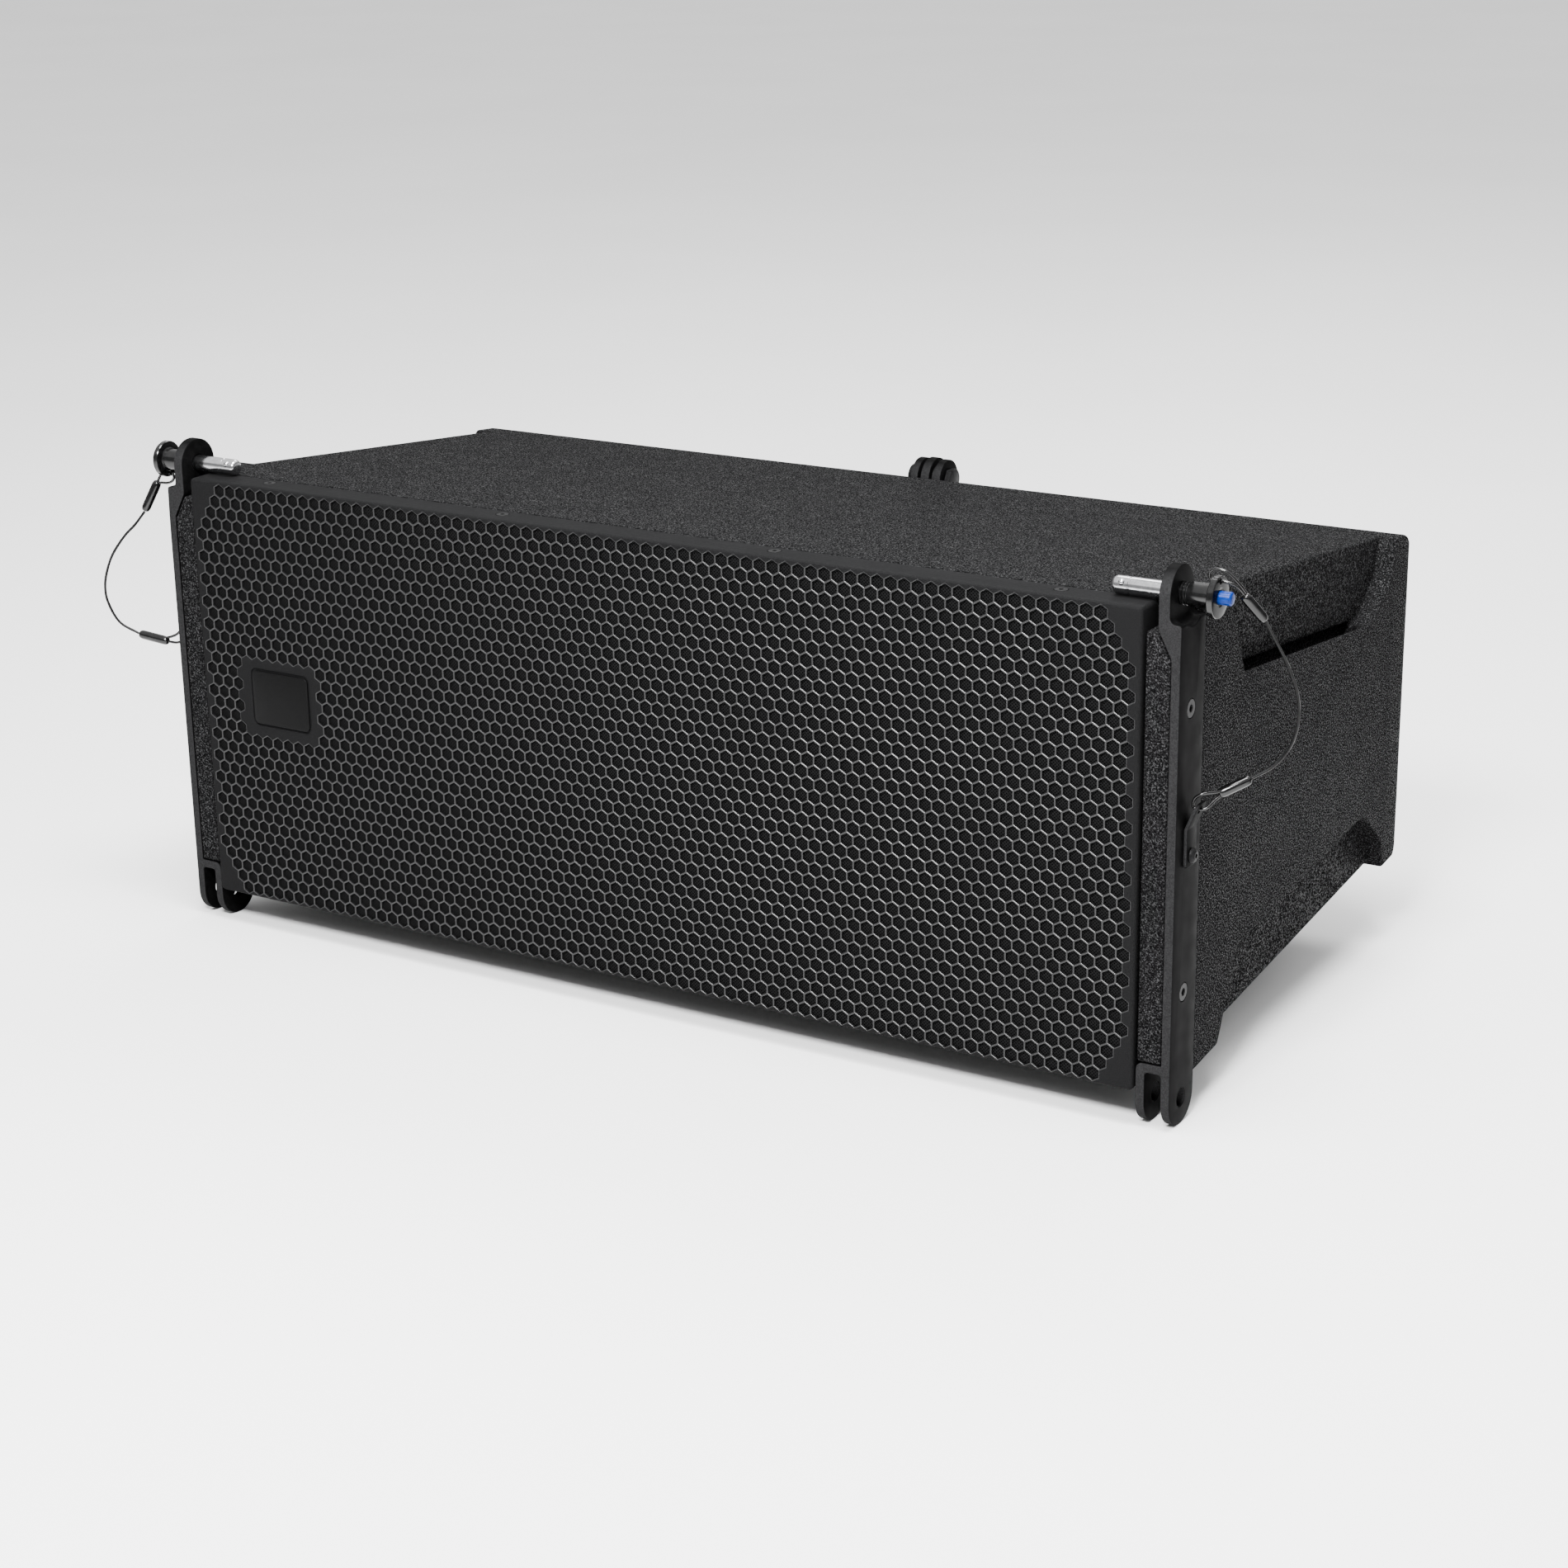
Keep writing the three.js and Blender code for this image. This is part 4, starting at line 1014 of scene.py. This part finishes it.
def cabinet_body():
    body = prism(section(CABINET_FRONT, CABINET_BACK), "x", -SIDE_FACE, SIDE_FACE)
    # The back's edges have a large radius and the long side edges a small one, blended at the corners.
    weights = body.data.attributes.new("bevel_weight_edge", "FLOAT", "EDGE")
    for edge, weight in zip(body.data.edges, weights.data):
        ends = [(body.data.vertices[v].co - DATUM) / MM for v in edge.vertices]
        deep = [end.y > 300 for end in ends]
        weight.value = 1.0 if all(deep) else 0.2 if any(deep) else 0.0
    rounding = body.modifiers.new("rounding", "BEVEL")
    rounding.limit_method = "WEIGHT"
    rounding.width = 14 * MM
    rounding.segments = 9
    combine(body, "UNION")
    lip = block((-308.2, 308.2), (4, 25), (-128.2, 128.2))
    cheeks = [block(sorted((sign * 311.3, sign * 324.9)), (2, 25), (-113.1, 117.7)) for _, sign in SIDES]
    combine(body, "UNION", lip, *cheeks)

    outside = 336
    bar_bay = (-5, 33.3)  # from in front of the cheek to just behind the rigging bar
    for _, sign in SIDES:
        slope = [(324.6, 103.9), (330.2, 103.9), (330.2, 124), (316.9, 124), (316.9, 118.4)]
        cuts = [
            block((324.9, outside), bar_bay, (-200, 200)),
            block((310.5, outside), bar_bay, (117.7, 200)),
            block((310.4, outside), bar_bay, (-200, -113.1)),
            prism(slope, "y", *bar_bay),
        ]
        for up in (1, -1):
            recess = fillet([
                (60, surface(66) + 10), below(70, 8), below(88, 47, 7), below(268, 47, 22),
                below(296, 24, 16), (305, surface(305)), (306, surface(305) + 12),
            ], 8)
            slot = fillet([below(96, 45), below(96, 54, 3), below(262, 54, 3), below(262, 45)], 4)
            cuts.append(prism(flip(recess, up), "x", 317.5, outside))
            cuts.append(prism(flip(slot, up), "x", 311.5, 324.5))
        for tool in cuts:
            cut(body, widen(tool, sign))

    # Rounded edges under the coating; the narrow step behind the grille stays small.
    bevel(body, 0.9, 3, 30, on_front_rim)
    bevel(body, 1.5, 4, 30, on_open_edge)

    cavity = section(CABINET_FRONT + WALL + 1, CABINET_BACK - WALL, WALL)
    cut(body, prism(cavity, "x", -303, 303))
    cut(body, block((-288, 288), (-1, 37.3), (-112, 112)))
    panel_recess = block((71.7, 192.3), (331.5, 340), (-42.3, 42.3))
    panel_opening = block((82, 182), (317, CABINET_BACK), (-32, 32))
    cut(body, panel_recess)
    cut(body, panel_opening)
    for x in SCREW_X:
        for up in (1, -1):
            cut(body, rod(2.2, 117.2 * up, 137.2 * up, "z", (x, SCREW_Y, 0), 24))
    for _, sign in SIDES:
        for _, height in BAR_SCREWS:
            cut(body, widen(rod(3.4, 307, 337, "x", (0, BAR_SCREW_Y, height), 24), sign))
    return body


dress("enclosure_coated", cabinet_body(), COATING, "cabinet", "cabinet_shell", angle=35)

# ---- rigging bars


def rigging_bar():
    far = 160
    front_view = fillet([
        (325.2, -113.5), (310.9, -113.5, 4), (310.9, -far), (316, -far), (316, -118.6, 1.8),
        (325.2, -118.6, 1.8), (325.2, -far), (BAR_OUTER, -far), (BAR_OUTER, 122.3, 1.5),
        (TAB_OUTER, 122.3, 3.5), (TAB_OUTER, far), (317.5, far), (317.5, 119, 5), (325.2, 104.5, 5),
    ])
    bar = prism(front_view, "y", 2, 32)
    side_view = [(32, -PIN_Z), (32, 104.5), (31.5, 121.5), *arc((PIN_Y, PIN_Z), 14.5, 0, 180, 36)]
    side_view += [(2.5, 121.5), (2, 104.5), *arc((PIN_Y, -PIN_Z), 15, 180, 360, 36)[:-1]]
    combine(bar, "INTERSECT", prism(side_view, "x", 300, 340))
    # Room for the outer ear of the box above, concentric with the pin hole.
    ear_room = [(0, TAB_OUTER), *(tuple(p) for p in arc((11.9, 327.7), 4, -90, 0, 6)), (15.9, 340), (0, 340)]
    cut(bar, lathe(ear_room, "x", (0, PIN_Y, PIN_Z), 72))
    bevel(bar, 0.55, 3, 40)
    cut(bar, drill((PIN_Y, PIN_Z), PIN_HOLE, 317.5, TAB_OUTER))
    for low, high in ((310.9, 316), (325.2, BAR_OUTER)):
        cut(bar, drill((PIN_Y, -PIN_Z), PIN_HOLE, low, high))
    sink = [(0, 310.9), (3.1, 310.9), (3.1, 327), (5.3, 329.6), (5.3, 330.5), (0, 330.5)]
    for _, height in BAR_SCREWS:
        cut(bar, lathe(sink, "x", (0, BAR_SCREW_Y, height)))
    return cut(bar, drill((PIN_Y, -1), 1.8, 325.2, BAR_OUTER, 0.3, 32))


def bar_screw(height):
    profile = [
        (0, 311.2), (2.2, 311.2), (2.8, 312), (2.8, 327), (4.75, 329.3), (4.95, 329.6),
        (4.9, 330.0), (4.7, BAR_OUTER), (0, BAR_OUTER),
    ]
    screw = lathe(profile, "x", (0, BAR_SCREW_Y, height))
    cut(screw, hex_socket(3.6, 328, 333, "x", (BAR_SCREW_Y, height)))
    dimple = [(0, 329.7), (1.9, 329.7), (2.5, 331), (0, 331)]
    return cut(screw, lathe(dimple, "x", (0, BAR_SCREW_Y, height), 36))


def lanyard_tag():
    profile = fillet([
        (330.5, -7), (332.3, -7), (332.3, 14, 3), (338.1, 28), (336.3, 28), (330.5, 14, 3),
    ], 6)
    strip = prism(profile, "y", 11, 23)
    side_view = fillet([(11, -7, 2.5), (23, -7, 2.5), (23, 28, 4.5), (11, 28, 4.5)])
    combine(strip, "INTERSECT", prism(side_view, "x", 328, 341))
    bevel(strip, 0.3, 2, 40)
    cut(strip, drill((PIN_Y, -1), 2.3, 330.5, 332.3, 0.2, 32))
    return cut(strip, rod(2.2, 325, 345, "x", (0, PIN_Y, 24)))


def tag_screw():
    """Button-head screw, with heights measured from the tag's outer face."""
    face = 332.3
    screw = lathe([
        (0, -4.6), (1.5, -4.6), (1.5, 0.3), (3.9, 0.3), (4.0, 0.5), (3.8, 1.4), (3.2, 2.2),
        (2.3, 2.7), (1.9, 2.8), (0, 2.8),
    ], "x", (face, PIN_Y, -1), 40)
    return cut(screw, hex_socket(2.5, face + 1.2, face + 6, "x", (PIN_Y, -1)))


def both_sides(name, right_piece, look, node):
    """One piece on the right and its mirror image on the left."""
    for side, piece in (("left", mirrored(right_piece)), ("right", right_piece)):
        dress(f"{name}_{side}", piece, look, "cabinet", f"{node}_{side}")


both_sides("fly_bar", rigging_bar(), STEEL, "rigging_bar")
for place, height in BAR_SCREWS:
    both_sides(f"socket_screw_{place}", bar_screw(height), SCREW, f"bar_screw_{place}")
both_sides("wire_tag", lanyard_tag(), STEEL, "lanyard_tag")
both_sides("tag_button_screw", tag_screw(), SCREW, "tag_screw")

# ---- quick-release pins

# Heights are measured outwards from the face that the pin's sleeve rests on.


def pin_shank(centre, _):
    """The shank with its chamfered nose, its groove and its two locking balls."""
    shank = lathe([
        (0, -37), (2.9, -37), (3.7, -36.75), (4.3, -36.1), (4.7, -35.2), (4.75, -34.6),
        (4.75, -28.2), (4.45, -27.9), (4.45, -27.3), (4.75, -27.0), (4.75, 9), (0, 9),
    ], "x", centre, 64)
    balls = []
    for side in (1, -1):
        bm = bmesh.new()
        bmesh.ops.create_uvsphere(bm, u_segments=24, v_segments=16, radius=1.9 * MM)
        place = Vector(centre) + Vector((-31.6, -3.3 * side, 2.2 * side))
        bm.transform(Matrix.Translation(row(place)))
        balls.append(from_bmesh("ball", bm))
    return combine(shank, "UNION", *balls)


def pin_handle(centre, eye):
    """Sleeve with three grooves and a flange. eye puts a hole for the wire above or below the middle."""
    face, y, z = centre
    handle = lathe([
        (5.05, 0.3), (5.7, 0.3), (6.0, 0.55), (6.0, 1.7), (5.45, 1.9), (5.45, 2.4), (6.0, 2.6),
        (6.0, 3.5), (5.45, 3.7), (5.45, 4.2), (6.05, 4.4), (6.2, 4.8), (6.2, 15.6), (6.5, 16.35),
        (7.1, 16.75), (10.0, 16.8), (10.5, 16.95), (10.8, 17.35), (10.8, 19.7), (10.5, 20.15),
        (10.0, 20.3), (5.0, 20.3), (4.6, 20.05), (3.8, 20.0), (3.8, 9.3), (5.05, 9.3),
    ], "x", centre, 64)
    if eye:
        cut(handle, drill((y, z + 8.3 * eye), 1.6, face + 16.8, face + 20.3, 0.3, 28))
    return handle


def pin_button(centre, _):
    return lathe([
        (0, 12.6), (3.5, 12.6), (3.5, 25.7), (3.3, 26.35), (2.9, 26.7), (2.4, 26.8), (0, 26.8),
    ], "x", centre, 48)


PINS = (
    ("left", -1, (TAB_OUTER, PIN_Y, PIN_Z), -1),
    ("right", 1, (TAB_OUTER, PIN_Y, PIN_Z), 1),
    ("rear", 1, (10.6, REAR_Y, REAR_PIN_Z), 0),
)
for side, sign, centre, eye in PINS:
    for build, name, look, body, node in (
        (pin_shank, "ball_lock_shank", STAINLESS, "pin", "pin_shank"),
        (pin_handle, "ball_lock_handle", HANDLE, "pin", "pin_handle"),
        (pin_button, "ball_lock_button", BLUE, "button", "pin_button"),
    ):
        piece = widen(build(centre, eye), sign)
        dress(f"{name}_{side}", piece, look, f"{body}_{side}", f"{node}_{side}")

# ---- rear rigging

BRACKET_SCREWS = [(x, z) for z in (76, -76) for x in (-21, 21)]


def rear_bracket():
    """A plate with two ears, drilled for the link's pivot, the parked pin and the box below."""
    start = 334.8
    plate = block((-30, 30), (start, start + 4), (-88, 88))
    bevel(plate, 0.6, 2)
    outline = [
        (start + 1, -88), (342.2, -PIVOT_Z), *arc((REAR_Y, -PIVOT_Z), 12.3, 180, 360, 28),
        *arc((REAR_Y, PIVOT_Z), 12.3, 0, 180, 28), (start + 1, 88),
    ]
    for sign in (1, -1):
        ear = prism(outline, "x", *sorted((5.6 * sign, 10.6 * sign)))
        bevel(ear, 0.5, 2, 40)
        combine(plate, "UNION", ear)
    for height in (PIVOT_Z, REAR_PIN_Z, -PIVOT_Z):
        for low, high in ((5.6, 10.6), (-10.6, -5.6)):
            cut(plate, drill((REAR_Y, height), PIN_HOLE, low, high))
    sink = [(0, -3), (2.9, -3), (2.9, 1.2), (5.7, 4.2), (0, 4.2)]
    for x, z in BRACKET_SCREWS:
        cut(plate, lathe(sink, "y", (x, start, z), 40))
    return plate


def rear_link():
    """A blade with a hole at each end and a boss round its pivot."""
    lower = 2
    outline = arc((REAR_Y, PIVOT_Z), 13, 0, 180, 32) + arc((REAR_Y, lower), 11, 180, 360, 32)
    blade = prism(outline, "x", -3, 3)
    bevel(blade, 0.5, 3, 40)
    boss = [(0, -5.3), (8.7, -5.3), (9, -5.0), (9, 5.0), (8.7, 5.3), (0, 5.3)]
    combine(blade, "UNION", lathe(boss, "x", (0, REAR_Y, PIVOT_Z)))
    cut(blade, drill((REAR_Y, PIVOT_Z), PIN_HOLE, -5.3, 5.3))
    return cut(blade, drill((REAR_Y, lower), PIN_HOLE, -3, 3))


def pivot_bolt():
    """A bolt through both ears, with its socket head on one side and a hexagon nut on the other."""
    bolt = lathe([
        (0, -15.4), (6.6, -15.4), (7.2, -15.2), (7.4, -14.8), (7.4, -11.1), (7.2, -10.9),
        (4.75, -10.9), (4.75, 10.9), (7.8, 10.9), (8, 11.1), (8, 13.7), (7.4, 14.4), (6.5, 14.9),
        (0, 14.9),
    ], "x", (0, REAR_Y, PIVOT_Z))
    cut(bolt, hex_socket(5, -19, -12.4, "x", (REAR_Y, PIVOT_Z)))
    round_the_nut = rod(30, 9.9, 16.9, "x", (0, REAR_Y, PIVOT_Z))
    cut(round_the_nut, hex_socket(13, 11.2, 15.9, "x", (REAR_Y, PIVOT_Z)))
    return cut(bolt, round_the_nut)


dress("rear_fly_bracket", rear_bracket(), STEEL, "cabinet", "rear_bracket")
dress("rear_fly_link", rear_link(), STEEL, "link", "rear_link")
dress("pivot_bolt_turned", pivot_bolt(), SCREW, "cabinet", "link_pivot_bolt")

for k, (x, z) in enumerate(BRACKET_SCREWS, 1):
    top = 338.75
    profile = [(0, -14), (2.6, -14), (2.6, -3), (5.1, -0.5), (5.2, -0.2), (5.0, 0), (0, 0)]
    screw = lathe(profile, "y", (x, top, z), 40)
    cut(screw, hex_socket(3.6, top - 2, top + 3, "y", (x, z)))
    dress(f"rear_plate_screw_{k}", screw, SCREW, "cabinet")

# ---- input panel

PANEL_FACE = 334.3
PANEL_THICKNESS = 2.5
PANEL_SCREWS = [(x, z) for x in (79, 132, 185) for z in (-35, 35)]
SOCKETS = (("input", 110.0), ("link", 154.0))


def input_plate():
    outline = fillet([(72, -42, 4), (192, -42, 4), (192, 42, 4), (72, 42, 4)], 6)
    plate = prism(outline, "y", PANEL_FACE - PANEL_THICKNESS, PANEL_FACE)
    bevel(plate, 0.5, 2, 40)
    for _, x in SOCKETS:
        cut(plate, rod(12.2, PANEL_FACE - 5, PANEL_FACE + 3, "y", (x, 0, 0), 56))
    sink = [(0, -5), (1.8, -5), (1.8, -1.6), (3.7, 0.2), (0, 0.2)]
    for x, z in PANEL_SCREWS:
        cut(plate, lathe(sink, "y", (x, PANEL_FACE, z), 32))
    return plate


def socket(x):
    """A round locking socket with a raised rim, a centre post and four ribs on it."""
    body = lathe([
        (0, -16), (11.7, -16), (11.7, 0.3), (14.2, 0.3), (14.5, 0.6), (14.5, 2.4), (14, 3),
        (11.8, 3), (11.2, 2.7), (11, 2.2), (11, -12), (6, -12), (6, 0.4), (5.5, 1), (0, 1),
    ], "y", (x, PANEL_FACE, 0), 56)
    for turn in range(4):
        angle = math.radians(45 + 90 * turn)
        centre = (x + 8.5 * math.cos(angle), PANEL_FACE, 8.5 * math.sin(angle))
        combine(body, "UNION", rod(1.4, -13, -4, "y", centre, 16))
    return body


dress("connector_plate", input_plate(), POWDER, "cabinet", "input_plate")
for name, x in SOCKETS:
    dress(f"{name}_connector", socket(x), MOULDING, "cabinet", f"{name}_socket")
for k, (x, z) in enumerate(PANEL_SCREWS, 1):
    top = PANEL_FACE - 0.02
    profile = [(0, -10), (1.5, -10), (1.5, -1.7), (3.3, -0.1), (3.2, 0), (0, 0)]
    screw = lathe(profile, "y", (x, top, z), 32)
    cut(screw, hex_socket(2.2, top - 1.1, top + 2, "y", (x, z)))
    dress(f"panel_screw_{k}", screw, SCREW, "cabinet")

# ---- pieces inside, as drawn

INSIDE = {
    "baffle_board": PLYWOOD, "waveguide": MOULDING, "compression_driver": CAST, "crossover_board": CIRCUIT,
}
WOOFER = {"basket": CAST, "magnet": MAGNET, "cone": PAPER, "surround": RUBBER, "spider": SPIDER}
for side, _ in SIDES:
    for part, look in WOOFER.items():
        INSIDE[f"woofer_{part}_{side}"] = look
for node, look in INSIDE.items():
    finish(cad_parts[node], *look)

# ---- floor and light

FLOOR = -150.2


def floor():
    bm = bmesh.new()
    bmesh.ops.create_grid(bm, x_segments=8, y_segments=8, size=30.0)
    bm.transform(Matrix.Translation(row((0, 0, FLOOR))))
    piece = from_bmesh("floor", bm)
    s = Shader("studio_floor", (0.86, 0.86, 0.86), 0.7)
    s.tones(s.noise(400), (0.84, 0.84, 0.84), (0.87, 0.87, 0.87))
    piece.data.materials.append(s.material)
    return piece


def area_light(name, location, target, size, power):
    data = bpy.data.lights.new(name, "AREA")
    data.shape = "RECTANGLE"
    data.size, data.size_y = size
    data.energy = power
    lamp = bpy.data.objects.new(name, data)
    bpy.context.scene.collection.objects.link(lamp)
    aim = Vector(target) - Vector(location)
    lamp.matrix_world = Matrix.Translation(location) @ aim.to_track_quat("-Z", "Y").to_matrix().to_4x4()
    return lamp


floor()
area_light("ceiling", (-1.5, 2.5, 5.0), (-1.5, 2.501, 0), (20.0, 20.0), 1450)
area_light("key_front", (0.4, -1.1, 1.05), (0.2, -0.02, 0.05), (0.5, 0.35), 84)
area_light("key_top", (0.35, -0.2, 1.7), (0.12, 0.1, 0.0), (0.9, 0.6), 92)
area_light("fill_rear", (-0.2, 1.7, 1.9), (0.0, 0.3, -0.05), (1.6, 0.8), 45)

world = bpy.data.worlds.new("studio")
world.use_nodes = True
set_inputs(world.node_tree.nodes["Background"], Color=(1.0, 1.0, 1.0, 1.0), Strength=0.45)
bpy.context.scene.world = world
